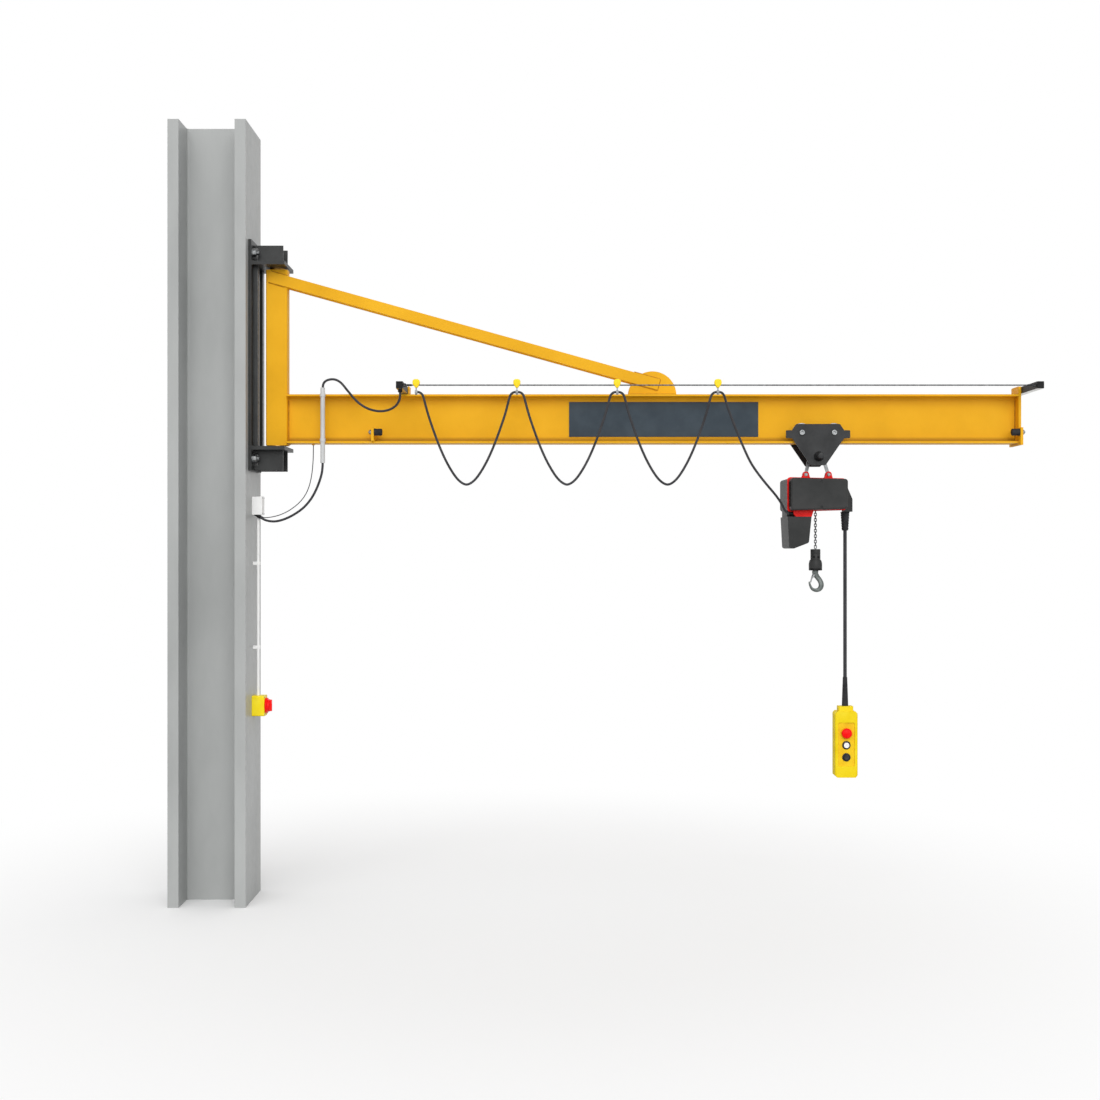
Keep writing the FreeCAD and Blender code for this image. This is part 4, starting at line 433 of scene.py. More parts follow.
# Gliders: waxy moulded acetal, yellow heads on grey stems and clips
glider_yellow = finish(
    "yellow_acetal", ("#FAD608", "#FFDD0C", "#FFE22C"), 20, 2, 0.06, (0.3, 0.42), sheen=0.25)
glider_grey = finish(
    "grey_acetal", ("#8E9092", "#9C9EA0", "#ACAEAF"), 20, 2, 0.06, (0.36, 0.48), sheen=0.3)
# Trolley's black enamel on cut plate: near black, with broad soft highlights
trolley_black = finish(
    "black_enamel", ("#262728", "#2F3031", "#373839"), 120, 8, 0.15, (0.34, 0.48), sheen=0.18)
# Cast wheel, machined tread: dull grey metal with faint turning
wheel_grey = finish(
    "machined_cast_steel", ("#7E8082", "#929496", "#A6A8A9"), 18, 2.5, 0.1, (0.34, 0.5), metal=0.9)
# Hoist's red enamel on cast aluminium: strong even red with a slight orange peel
hoist_red = finish(
    "red_enamel", ("#DA120E", "#E61814", "#EE231E"), 110, 6, 0.12, (0.34, 0.46), sheen=0.12)
# Moulded covers of the hoist: charcoal plastic with a leathery grain, drawn 5 mm coarse, because the
# real one is too fine to show
cover_grey = finish(
    "charcoal_cover_plastic", ("#292A2A", "#313232", "#393939"), 150, 5, 0.15, (0.42, 0.56), sheen=0.18)
# Case-hardened chain: grey bare metal that flickers from link to link
chain_steel = finish(
    "case_hardened_chain", ("#555758", "#6B6D6F", "#838586"), 9, 2, 0.06, (0.3, 0.45), metal=1.0)
# Forged hook: scale marks and soft dimples left by the die
forged = finish(
    "forged_hook_steel", ("#575C5A", "#686E6C", "#7B807D"), 26, 5, 0.35, (0.42, 0.6), metal=0.65)
# Pendant's moulded shell, matt and evenly coloured. The deeper yellow of the sheet in its button recess
# is painted shade
pendant_yellow = finish(
    "yellow_pendant_plastic", ("#E6C70E", "#EED215", "#F2D828"), 70, 4, 0.1, (0.42, 0.54), sheen=0.12)
recess_shade_yellow = finish(
    "deep_yellow_recess_shade", ("#E8B80C", "#F1C410", "#F4CC18"), 60, 3, 0.06, (0.42, 0.55), sheen=0.2)
# Buttons: smooth moulded plastic, a little glossier than the shell round them
BUTTON_SURFACE = (14, 2, 0.05)
button_black = finish(
    "black_button_plastic", ("#232324", "#2C2C2D", "#363637"), *BUTTON_SURFACE, (0.34, 0.45),
    sheen=0.25)
button_white = finish(
    "white_button_plastic", ("#E8E8E6", "#F0F0EE", "#F4F4F3"), *BUTTON_SURFACE, (0.34, 0.45))
button_red = finish(
    "red_button_plastic", ("#F50C0C", "#FD1212", "#FF2420"), *BUTTON_SURFACE, (0.34, 0.44), sheen=0.1)


def flanks_in_painted_shade(made):
    """Mixes near-black painted shade over a metal wherever the surface doesn't face straight down: w =
    smooth step of the normal's Z from -0.9 to -0.6."""
    tree = made.node_tree
    place = node(tree, "ShaderNodeTexCoord")
    down = node(tree, "ShaderNodeSeparateXYZ", None, {0: place.outputs["Normal"]})
    shade_share = node(tree, "ShaderNodeMapRange",
                 {"interpolation_type": "SMOOTHSTEP", "From Min": -0.9, "From Max": -0.6},
                 {"Value": down.outputs["Z"]})
    grain = node(tree, "ShaderNodeTexNoise", {"Scale": 110.0, "Detail": 4.0},
                 {"Vector": place.outputs["Object"]})
    shades = node(tree, "ShaderNodeValToRGB", None, {"Fac": grain.outputs["Fac"]})
    for stop, colour in zip(shades.color_ramp.elements, ("#101011", "#2A2A2B")):
        stop.color = linear(colour)
    shade_body = node(tree, "ShaderNodeBsdfPrincipled", {"Roughness": 0.5, "Specular IOR Level": 0.15},
                 {"Base Color": shades.outputs["Color"]})
    mix = node(tree, "ShaderNodeMixShader", None,
               {0: shade_share.outputs["Result"], 1: tree.nodes["Principled BSDF"].outputs[0],
                2: shade_body.outputs[0]})
    tree.links.new(mix.outputs["Shader"], tree.nodes["Material Output"].inputs["Surface"])


flanks_in_painted_shade(galvanised)

# Heights of the painted shade in the root above the beam's lower flange
ROOT_SHADE_START = (BEAM_LOW + FLANGE - 0.1) * MM
ROOT_SHADE_FULL = (BEAM_LOW + 20) * MM
ROOT_SHADE_TOP = (BEAM_LOW + 42) * MM


def painted_root_shade(made):
    """Brown painted shade over the enamel in the root above the beam's lower flange: w = smooth step of
    the height, from none at the shade's top down to its full share. Below its start the flange's edge
    stays unshaded."""
    tree = made.node_tree
    enamel = tree.nodes["Principled BSDF"].inputs["Base Color"]
    place = node(tree, "ShaderNodeTexCoord").outputs["Object"]
    height = node(tree, "ShaderNodeSeparateXYZ", None, {0: place}).outputs["Z"]
    near = node(tree, "ShaderNodeMapRange",
                {"interpolation_type": "SMOOTHSTEP", "From Min": ROOT_SHADE_TOP, "From Max": ROOT_SHADE_FULL},
                {"Value": height})
    above = node(tree, "ShaderNodeMath", {"operation": "GREATER_THAN", 1: ROOT_SHADE_START}, {0: height})
    share = node(tree, "ShaderNodeMath", {"operation": "MULTIPLY"},
                 {0: near.outputs["Result"], 1: above.outputs[0]})
    root_shade = node(tree, "ShaderNodeMix",
                 {"data_type": "RGBA", "blend_type": "MULTIPLY", 7: linear("#BFB7AA")},
                 {0: share.outputs[0], 6: enamel.links[0].from_socket})
    tree.links.new(root_shade.outputs[2], enamel)


painted_root_shade(root_shaded_beam_yellow)

CARRIED_OVER = {
    column_grey: ("column",),
    console_grey: ("console",),
    bronze: ("bearing_bushes",),
    box_white: ("junction_box", "service_pipe"),
    cap_black: ("cable_glands", "feed_gland", "festoon_gland", "bar_end_caps"),
    isolator_yellow: ("isolator_box",),
    root_shaded_beam_yellow: ("jib_beam",),
    crane_yellow: ("post", "tie_bars", "tie_gussets", "end_plate", "end_stop", "bar_bracket"),
    slate: ("sign_panels",),
    galvanised: ("cable_bars",),
    conduit: ("conduit_tube", "tube_clamps"),
    trolley_black: ("trolley_plates",),
    zinc: ("suspension_yoke", "hook_latch"),
    hoist_red: ("hoist_lugs", "hoist_frame"),
    cover_grey: ("hoist_front_cover", "hoist_rear_cover", "chain_container", "pendant_inlet"),
    pendant_yellow: ("pendant_body",),
}
for material, names in CARRIED_OVER.items():
    for name in names:
        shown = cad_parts[name]
        shown.data.materials.clear()
        shown.data.materials.append(material)


def piece(name, parts, body=None, stands_for=(), sharp=38):
    """One mesh from rows of points, each with its material. Edges that turn by more than sharp degrees
    stay crisp."""
    points, faces, indices, materials = [], [], [], []
    start = 0
    for rows, material in parts:
        ring = isinstance(rows, tuple)
        found, groups = rows if ring else skin(rows)
        if material not in materials:
            materials.append(material)
        points.append(found)
        for group in groups:
            faces.extend((group + start).tolist())
            indices.extend([materials.index(material)] * len(group))
        start += len(found)
    mesh = bpy.data.meshes.new(name)
    mesh.from_pydata(np.concatenate(points) * MM, [], faces)
    for material in materials:
        mesh.materials.append(material)
    mesh.polygons.foreach_set("material_index", indices)
    mesh.polygons.foreach_set("use_smooth", [True] * len(faces))
    mesh.update()
    mesh.set_sharp_from_angle(angle=math.radians(sharp))
    made = placed(name, mesh)
    if stands_for:
        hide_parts(*stands_for)
    if body:
        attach(made, body)
    return made


# Cables: each follows the smooth spline of its own route

LOOP_HALF = (
    (0, 0), (14, 0), (27, -6.6), (36, -18), (41, -34), (48.5, -64), (64, -122), (88, -193), (118, -276),
    (152, -355), (186, -418), (222, -470), (257, -496),
)
LAST_SPAN = (
    (2768, WIRE_Y, CLIP_Z), (2781, WIRE_Y, CLIP_Z), (2793, -326, 2787.5), (2802, -316, 2777),
    (2809.5, -307, 2761), (2819, -302, 2727), (2842, -296, 2664), (2877, -286, 2577), (2914, -276, 2495),
    (2951, -264, 2418), (2998, -252, 2353), (3050, -222, 2295), (3096, -180, 2251), (3131, -140, 2212),
    (3152, -110, 2181), (3166, -95, 2156), (3185, -95, 2146),
)
FEED_ROUTE = (
    (612.5, -86, 2828), (612.5, -86, 2858), (625, -87, 2878), (653, -89, 2889), (687, -93, 2887),
    (718, -105, 2867), (745, -122, 2834), (776, -142, 2797), (808, -162, 2761), (846, -185, 2731),
    (893, -208, 2708), (946, -233, 2697), (996, -258, 2702), (1036, -280, 2722), (1057, -295, 2752),
    (1061, -300, 2776), (1061, -300, 2801),
)
SUPPLY_ROUTE = (
    (612.5, -86, 2440), (612.5, -86, 2391), (598, -82, 2335), (575, -76, 2278), (545, -68, 2226),
    (503, -58, 2179), (450, -47, 2143), (395, -36, 2117), (345, -28, 2104), (304, -23, 2106),
    (270, -22, 2117.3), (242.6, -22, 2136.5),
)
EARTH_ROUTE = (
    (544, 24, 2532), (544, 24, 2484), (541.5, 24, 2427), (535, 24, 2363), (521, 23, 2300),
    (498, 22, 2249), (466, 21, 2210), (430, 20, 2180), (388, 19, 2154), (344, 18, 2137), (300, 18, 2128),
    (264, 18, 2125.7), (244.1, 18, 2139.6),
)
PENDANT_ROUTE = (
    (PENDANT_X, 0, INLET_LOW), (PENDANT_X, 0, 1800), (PENDANT_X, 0, 1436), (PENDANT_X, 0, PENDANT_TOP),
)


def spline_line(route):
    """Points of the NURBS spline of order 3 whose control points are the route's, in millimetres."""
    curve = bpy.data.curves.new("cable_line", "CURVE")
    curve.dimensions = "3D"
    spline = curve.splines.new("NURBS")
    spline.points.add(len(route) - 1)
    spline.points.foreach_set("co", np.c_[np.array(route, float) * MM, np.ones(len(route))].ravel())
    spline.order_u = 3
    spline.use_endpoint_u = True
    spline.resolution_u = 8
    holder = bpy.data.objects.new("cable_line", curve)
    mesh = bpy.data.meshes.new_from_object(holder)
    line = np.zeros(len(mesh.vertices) * 3)
    mesh.vertices.foreach_get("co", line)
    bpy.data.objects.remove(holder)
    bpy.data.curves.remove(curve)
    bpy.data.meshes.remove(mesh)
    return line.reshape(-1, 3) / MM


def cable(name, route, radius, node_name, body=None, bend=None):
    """Cable of a round section along its spline, on one body. Where a bend is given, the cable is left on
    no body with its transform applied; the bend's bodies and points are not used here.
    """
    line = spline_line(route)
    made = piece(name, [(tube(line, radius, 14), jacket)], body, (node_name,))
    if bend:
        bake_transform(made)


for index in range(3):
    left, right = GLIDER_X[index:index + 2]
    route = [(left + dx, WIRE_Y, CLIP_Z + dz) for dx, dz in LOOP_HALF]
    route += [(right - dx, WIRE_Y, CLIP_Z + dz) for dx, dz in reversed(LOOP_HALF)]
    ends = ("jib", "glider_2", "glider_3", "glider_4")[index:index + 2]
    cable(f"festoon_cable_{index + 1}", route, CABLE_R, f"festoon_loop_{index + 1}",
          bend=(*ends, (left, WIRE_Y, CLIP_Z), (right, WIRE_Y, CLIP_Z)))
# The last span starts on the fourth glider, which takes 0.66 of the trolley's travel. Its bend begins
# so far to the left that its first point has that share
cable("festoon_cable_4", LAST_SPAN, CABLE_R, "festoon_last_span",
      bend=("jib", "trolley", (2110, -95, 2146), (3185, -95, 2146)))
cable("feed_lead", FEED_ROUTE, CABLE_R, "feed_cable", "jib")
cable("supply_lead", SUPPLY_ROUTE, CABLE_R, "supply_cable",
      bend=("jib", "column", (612.5, -86, 2391), (270, -22, 2117)))
cable("earth_lead", EARTH_ROUTE, EARTH_R, "earth_wire",
      bend=("jib", "column", (544, 24, 2484), (264, 18, 2126)))
cable("pendant_lead", PENDANT_ROUTE, PENDANT_CABLE_R, "pendant_cable", "trolley")


# Festoon: wire rope with its eye bolts, and the gliders

def wire_rope(start, end, radius, strands=6, lay=42):
    """Twisted rope along X, whose strands wind round it: radius r (0.86 + 0.14 |cos(n a / 2)|), where
    a = t - 2 pi x / lay."""
    x = np.arange(start, end, 3.0)
    turn = np.linspace(0, 2 * np.pi, 24, endpoint=False)
    twist = turn[None] - 2 * np.pi * x[:, None] / lay
    r = radius * (0.86 + 0.14 * np.abs(np.cos(strands * twist / 2)))
    x = np.broadcast_to(x[:, None], r.shape)
    return np.stack([x, WIRE_Y + r * np.cos(turn), WIRE_Z + r * np.sin(turn)], -1)


def torus(centre, radius, wire, normal=BACK):
    """Ring: centre + (R + r cos t) (cos s u + sin s v) + r sin t n."""
    n, u, v = square_to(normal, 2)
    s = np.linspace(0, 2 * np.pi, 32, endpoint=False)[:, None, None]
    t = np.linspace(0, 2 * np.pi, 12, endpoint=False)[None, :, None]
    return skin(np.array(centre, float) + (radius + wire * np.cos(t)) * (np.cos(s) * u + np.sin(s) * v)
                + wire * np.sin(t) * n, ring=True)


FERRULE = ((5, 0), (5.6, 1), (5.6, 25), (5, 26), (3.4, 30))
rope = [(wire_rope(1089, 4466, 3.8), rope_steel)]
for eye_x, inward in ((1079.0, 1.0), (4475.0, -1.0)):
    way = (inward, 0, 0)
    nut, eye, thimble, ferrule = ((eye_x + inward * d, WIRE_Y, WIRE_Z) for d in (0, 10, 17, 20))
    rope += [(torus(eye, 7.5, 2.6), black_steel), (torus(thimble, 5.0, 2.2, UP), rope_steel),
             (turned(FERRULE, ferrule, way, 20), black_steel), (hexagon(15, nut, way, 5), black_steel)]
piece("wire_rope_and_eyes", rope, "jib", ("festoon_wire",))

GLIDER_HEAD = ((-19, 32), (-19.5, 6), (-5, -14.5), (5, -14.5), (19.5, 6), (19, 32))
GLIDER_ROUNDING = (16, 8, 3, 3, 8, 16)
HEAD_HALF = 11
PANEL_SHARE = 0.62
CLIP_RING = ((6.6, -7), (9.4, -7), (10, -6), (10, 6), (9.4, 7), (6.6, 7))


def glider(index, x, body):
    """Glider on the wire: a tapered moulding with a raised panel, its stem and the cable's clip."""
    outline = rounded(np.array(GLIDER_HEAD) + (x, WIRE_Z), GLIDER_ROUNDING)
    middle = np.array([x, WIRE_Z + 13.0])
    panel = middle + PANEL_SHARE * (outline - middle)
    panel_levels = [(WIRE_Y + side * (HEAD_HALF + proud), amount)
                    for side, proud, amount in ((-1, 1, 0.8), (-1, 0.2, 0), (1, 0.2, 0), (1, 1, 0.8))]
    parts = [
        (slab(outline, soft_levels(WIRE_Y - HEAD_HALF, WIRE_Y + HEAD_HALF, 3), "xz"), glider_yellow),
        (slab(panel, panel_levels, "xz"), glider_yellow),
        (block(x - 3, x + 3, WIRE_Y - 3, WIRE_Y + 3, CLIP_Z + 7, WIRE_Z - 13, 1, 0.5), glider_grey),
        (turned(CLIP_RING, (x, WIRE_Y, CLIP_Z), RIGHT, 32), glider_grey),
        (block(x - 5, x + 5, WIRE_Y - 9, WIRE_Y + 9, CLIP_Z - 15, CLIP_Z - 8, 1.5, 1), glider_grey),
        (turned([(3, 0), (3, 3), (2.4, 3.6)], (x, WIRE_Y - 9, CLIP_Z - 11.5), FRONT, 16), zinc),
    ]
    piece(f"cable_glider_{index}", parts, body, (f"glider_{index}",))


for index, body in enumerate(("jib", "glider_2", "glider_3", "glider_4")):
    glider(index + 1, GLIDER_X[index], body)


# Load chain, drawn for the lowest position of the hook and drawn together into the hoist at rest

CHAIN_PITCH = 15
LINK_COUNT = 127
LINK_BEND = 6
LINK_STRAIGHT = 4
LINK_WIRE_R = 2.45
FIRST_LINK = BLOCK_TOP + 12.5
BLEND_HIGH = 2280
BLEND_LOW = 2165


def load_chain():
    """Oval links: (a cos p, b sin p plus or minus the straight half) with a round wire about it, every
    second link turned by 90 degrees. At height z the blend moves a point down by the lift times w(z),
    so each link is set where that movement brings it to its place on the straight, lowered chain."""
    p = (np.arange(16) + 0.5) * np.pi / 8
    t = np.arange(8) * np.pi / 4
    out = LINK_BEND + LINK_WIRE_R * np.cos(t)[None]
    x = out * np.cos(p)[:, None]
    z = out * np.sin(p)[:, None] + np.sign(np.sin(p))[:, None] * LINK_STRAIGHT
    y = np.broadcast_to(LINK_WIRE_R * np.sin(t)[None], x.shape)
    flat, faces = skin(np.stack([x, y, z], -1), ring=True)
    number = np.arange(LINK_COUNT)[:, None]
    links = np.repeat(flat[None], LINK_COUNT, 0)
    links[1::2] = links[1::2][:, :, [1, 0, 2]] * (-1, 1, 1)
    links[:, :, 2] += FIRST_LINK - LIFT_DOWN + CHAIN_PITCH * number
    points = links.reshape(-1, 3)
    points[:, 0] += TROLLEY_X
    heights = np.linspace(1800, 2400, 6001)
    share = np.clip((BLEND_HIGH - heights) / (BLEND_HIGH - BLEND_LOW), 0, 1)
    lowered = heights - LIFT_DOWN * share * share * (3 - 2 * share)
    points[:, 2] = np.interp(points[:, 2], lowered, heights)
    quads = (faces[0][None] + len(flat) * number[..., None]).reshape(-1, 4)
    made = piece("link_chain", [((points, [quads]), chain_steel)], None, ("load_chain",))
    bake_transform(made)


load_chain()

SLEEVE = (
    (4, 0), (24, 0), (26.6, -1), (27.5, -3.5), (27.5, -26), (27, -27), (27, -29), (27.5, -30),
    (27.5, -59), (29, -60), (31.5, -61), (33.5, -66), (36, -76), (37, -84), (37, -104), (36.4, -105),
    (36.4, -108),
)
BELL_RIM = ((36.4, -107), (37, -108), (37, -116), (35, -119), (24, -119), (23, -116))
SOCKET_SCREW = ((6, -2), (6, 3.4), (5, 4.4), (2.6, 4.4), (2.6, 2))
block_parts = [(turned(SLEEVE, (TROLLEY_X, 0, BLOCK_TOP), sides=64), cover_grey),
               (turned(BELL_RIM, (TROLLEY_X, 0, BLOCK_TOP), sides=64), cap_black)]
for side in (-1, 1):
    screw_place = (TROLLEY_X + side * 12, -23.5, BLOCK_TOP - 44)
    block_parts.append((turned(SOCKET_SCREW, screw_place, (side * 0.35, -1, 0), 24), cap_black))
piece("bottom_block", block_parts, "hook_block", ("hook_block",))

# Centreline of the hook from the block's axis and underside, with the section's width at each point
HOOK_LINE = (
    (-2, -4, 34), (-1.5, -12, 33.5), (3, -26, 30.5), (13, -40, 28.5), (23.5, -54, 28), (31, -70, 28.5),
    (32, -86, 28.5), (25, -101, 26.5), (11, -109.5, 22.5), (-5, -109.5, 18.5), (-18.5, -102.5, 15.5),
    (-27, -89.5, 13), (-32, -75, 11.5), (-34, -65, 9), (-34.4, -62.4, 4),
)
SECTION_THICK = 0.44
SECTION_SKEW = 0.22


def forged_hook():
    """Egg-shaped section carried along the hook's flowing centreline: half width w/2 in its plane and
    half thickness 0.44 w (1 + 0.22 cos t) across it, so the inside of the bowl is thicker."""
    dense = flowing(HOOK_LINE, 7)
    centre = np.stack([TROLLEY_X + dense[:, 0], np.zeros(len(dense)), BLOCK_LOW + dense[:, 1]], -1)
    run = unit(np.gradient(centre, axis=0))
    inward = np.cross(BACK, run)
    t = np.linspace(0, 2 * np.pi, 28, endpoint=False)[None]
    width = dense[:, 2:3]
    skew = SECTION_SKEW * np.clip(np.arange(len(dense)) / 21, 0, 1)[:, None]
    thick = width * SECTION_THICK * (1 + skew * np.cos(t))
    return (centre[:, None] + (width / 2 * np.cos(t))[..., None] * inward[:, None]
            + (thick * np.sin(t))[..., None] * np.array(BACK))


latch_spring = []
turns = np.linspace(0, 2 * np.pi * 5, 120)
for side in (-1, 1):
    coil = np.stack([LATCH_X + 5.2 * np.cos(turns), side * (4 + 1.7 * turns / (2 * np.pi)),
                     LATCH_Z + 5.2 * np.sin(turns)], -1)
    latch_spring.append((tube(coil, 0.8, 8, (0, 0.3, 1)), zinc))
SHANK = ((17, -6), (17, 11), (21, 12), (22, 13), (22, 22), (21, 23))
PIN = ((2.4, -18.4), (3, -17.6), (3, 17.6), (2.4, 18.4))
hook_parts = [(forged_hook(), forged), (turned(SHANK, (TROLLEY_X, 0, BLOCK_LOW)), forged),
              (turned(PIN, (LATCH_X, 0, LATCH_Z), BACK, 24), zinc)]
piece("forged_hook", hook_parts, "load_hook", ("load_hook",), sharp=50)
piece("latch_spring", latch_spring, "load_hook")


# Pendant: boots, collars, buttons and screws

def ribbed_boot(top_r, tip_r, top_z, tip_z, ribs):
    """Tapered boot whose radius drops by 1.6 mm between its ribs: each rib rises and falls as a rounded
    step, 0.5 + 0.5 tanh(4 cos(2 pi n s - 2)) at the share s of its length."""
    share = np.linspace(0, 1, ribs * 12 + 1)
    wave = 0.5 + 0.5 * np.tanh(4 * np.cos(2 * np.pi * ribs * share - 2))
    r = top_r + (tip_r - top_r) * share - 1.6 * (1 - wave)
    r[-1] = tip_r - 2.5
    return np.stack([r, top_z + (tip_z - top_z) * share], -1)


LOWER_BOOT = ((17.5, PENDANT_TOP), (17.5, 1082), (17, 1100), (15, 1160), (12.8, 1225), (12.6, 1234),
              (11.6, 1238), (10.2, 1239))
boots = [(turned(profile, (PENDANT_X, 0, 0)), rubber)
         for profile in (ribbed_boot(25, 18.5, INLET_LOW, 2055, 7), LOWER_BOOT)]
piece("strain_relief_boots", boots, "trolley", ("pendant_boots",))

BEZEL = ((23.5, 0), (23.5, 2.4), (22.4, 5), (21, 6), (18.3, 6), (17.6, 5), (17.6, 1))
MUSHROOM = ((18, -7), (18, 8), (24, 9), (27.5, 11), (28.5, 14), (28.5, 17), (27.6, 20), (25, 22.4),
            (20, 24.4), (13, 26.2), (6, 27.2), (0, 27.5))
PUSH = ((15, -10), (15, 11.5), (14.4, 13.2), (13, 14), (10, 14), (8.6, 13.4), (0, 12.8))
bezels = [(turned(BEZEL, (PENDANT_X, PENDANT_FACE, z), FRONT), button_black) for z in BUTTON_Z]
piece("button_bezels", bezels, "trolley", ("button_collars",))
stop = turned(MUSHROOM, (PENDANT_X, PENDANT_FACE - 0.9, BUTTON_Z[0]), FRONT, 64)
piece("stop_mushroom", [(stop, button_red)], "stop_button", ("stop_button",))
for z, name, slot, material in zip(BUTTON_Z[1:], ("up", "down"), ("button_white", "button_black"),
                                   (button_white, button_black)):
    push = turned(PUSH, (PENDANT_X, PENDANT_FACE - 0.5, z), FRONT)
    piece(f"{name}_push", [(push, material)], f"{name}_button", (f"{name}_button",))
# A thin deeper-yellow sheet on the floor of the button recess: painted shade of the recess
recess = rectangle(PENDANT_X - 45.2, PENDANT_X + 45.2, 745.8, 986.2, 8)
panel_levels = [(PENDANT_FACE + proud, amount) for proud, amount in ((0.4, 0), (-0.5, 0), (-0.9, 0.4))]
panel = slab(recess, panel_levels, "xz")
piece("button_recess_shade", [(panel, recess_shade_yellow)], "trolley")
SHELL_SCREW = ((5, -1), (5, 0.8), (4.2, 1.6), (2.4, 1.6), (2.2, 0.4), (0, 0.4))
shell_screws = [(turned(SHELL_SCREW, (PENDANT_X + dx, PENDANT_BACK, z), BACK, 24), black_steel)
                for z in (1030, 704) for dx in (-38, 38)]
piece("pendant_screws", shell_screws, "trolley")


# Hoist: screws in the covers' recesses, pins and bolts of the suspension

COVER_SCREW = ((5.4, 0), (5.4, 2.6), (4.8, 3.4), (2.8, 3.4), (2.6, 1), (0, 1))
cover_screws = [(turned(COVER_SCREW, (3355, y, z), way, 24), black_steel)
                for z in (2182.6, 2324.3) for y, way in ((-155.4, FRONT), (185.4, BACK))]
piece("cover_screws", cover_screws, "trolley")

# The rear cover's left end laps forward as far as the red rim that the frame shows there
lap_line = rectangle(HOIST_LEFT - 10.3, HOIST_LEFT + 40, 2165.5, 2340.5, (17, 2, 2, 17))
lap = slab(lap_line, ((-78, 1), (-77, 0), (42, 0)), "xz")
piece("rear_cover_lap", [(lap, cover_grey)], "trolley")
rim_line = rounded([(HOIST_LEFT - 10, 2157), (TROLLEY_X + 155, 2166), (TROLLEY_X + 155, 2342),
                    (HOIST_LEFT - 10, 2349)], 20)
piece("frame_rim", [(band(rim_line, 14, -83, -76), hoist_red)], "trolley")
# A thin near-black block at the front cover's left side, as painted shade of that side
cover_side_shade = block(HOIST_LEFT - 1, HOIST_LEFT + 1, -150, -82, 2184, 2324, 4, 0.8, "yz")
piece("front_cover_side_shade", [(cover_side_shade, cover_side_shade_black)], "trolley")
# Neck between the rear cover and the chain container
neck = block(TROLLEY_X - 166, TROLLEY_X - 60, -51, 140, 2112, 2172, 6, 0.5)
piece("container_neck", [(neck, cover_grey)], "trolley")

AXLE = ((14.2, 27), (20, 27), (20, 29.4), (14.4, 29.5), (14.4, 97), (13.4, 98), (8, 98), (7, 96.6),
        (3, 96), (0, 96))
RETAINER = ((14.5, 76.5), (19, 76.8), (19, 79.8), (14.5, 79.9))
LUG_PIN = ((6.4, -20), (7.4, -19), (7.4, 19), (6.4, 20))
LUG_WASHER = ((9.5, -17.2), (9.5, -14.8))
pins = []
for x in WHEEL_X:
    for way in (FRONT, BACK):
        pins += [(turned(profile, (x, 0, AXLE_Z), way), zinc) for profile in (AXLE, RETAINER)]
for x in LUG_X:
    pins += [(turned(profile, (x, 0, LUG_Z), BACK, 32), zinc) for profile in (LUG_PIN, LUG_WASHER)]
piece("axles_and_pins", pins, "trolley", ("trolley_pins",))

BOLT_HEAD = ((13.5, 0), (15.8, 1), (17, 3), (17.5, 5), (17.5, 8), (16.5, 8.4), (16.5, 24))
BOLT_SHANK = ((16.4, 24), (16.4, 76), (16.3, 77), (16.3, 250))
NUT_WASHER = ((28, 0), (28, 2.4), (26, 3))
bolt_start = (CROSS_X, -165, CROSS_Z)
threaded_shank = np.concatenate([BOLT_SHANK, thread(16.4, 252, 19, 4)])
cross = [(turned(BOLT_HEAD, bolt_start, BACK), trolley_black),
         (turned(threaded_shank, bolt_start, BACK), trolley_black),
         (hexagon(46, (CROSS_X, 88.2, CROSS_Z), BACK, 14, 3), zinc),
         (hexagon(46, (CROSS_X, -88.2, CROSS_Z), FRONT, 14, 3), cap_black),
         (turned(NUT_WASHER, (CROSS_X, -88, CROSS_Z), FRONT), cap_black)]
piece("cross_bolt_and_nuts", cross, "trolley", ("cross_bolt",))

WHEEL = (
    (14.6, 30), (24, 30), (25, 31), (26, 34), (38, 34), (39, 31), (40, 30), (45, 30), (46.5, 31.5),
    (46.5, 69.6), (47.5, 69.8), (52, 71), (53, 72.5), (53, 75), (52, 76), (42, 76), (40, 73), (25, 73),
    (23, 76), (14.6, 76),
)
for x, name in zip(WHEEL_X, ("left", "right")):
    wheels = [(turned(WHEEL, (x, 0, AXLE_Z), way, 64), wheel_grey) for way in (FRONT, BACK)]
    piece(f"{name}_wheel_pair", wheels, f"{name}_wheels", (f"{name}_wheels",))


# Beam and console: buffers, anchor nuts, weld beads and machined faces

BUFFER = ((17, 0), (19, 1), (19.5, 3), (19.5, 14), (18.8, 15), (18.8, 17), (19.5, 18), (19.5, 38),
          (18.6, 42), (15.5, 44.6), (8, 45), (0, 45))
buffers = []
for x, way, plate in ((896, 1, 15), (BEAM_END, -1, 14)):
    inward, outward = (way, 0, 0), (-way, 0, 0)
    for y in (-BUFFER_Y, BUFFER_Y):
        outside = (x - way * plate, y, BUFFER_Z)
        buffers += [(turned(BUFFER, (x, y, BUFFER_Z), inward), rubber),
                    (hexagon(24, outside, outward, 12, 2), zinc),
                    (turned(thread(6, 0, 16, 2.5), outside, outward, 24), zinc)]
piece("rubber_buffers", buffers, "jib", ("end_buffers",))

anchors = []
for y in (-115, 115):
    for z in (2450, 3580):
        anchors += [(turned([(22, 0), (22, 3.2), (21, 4)], (PLATE_X, y, z), RIGHT), zinc),
                    (hexagon(36, (PLATE_X + 4, y, z), RIGHT, 20, 3), zinc),
                    (turned(thread(12, 0, 14, 2.5), (PLATE_X + 24, y, z), RIGHT, 32), zinc)]
piece("anchor_nuts", anchors, "column", ("console_bolts",))

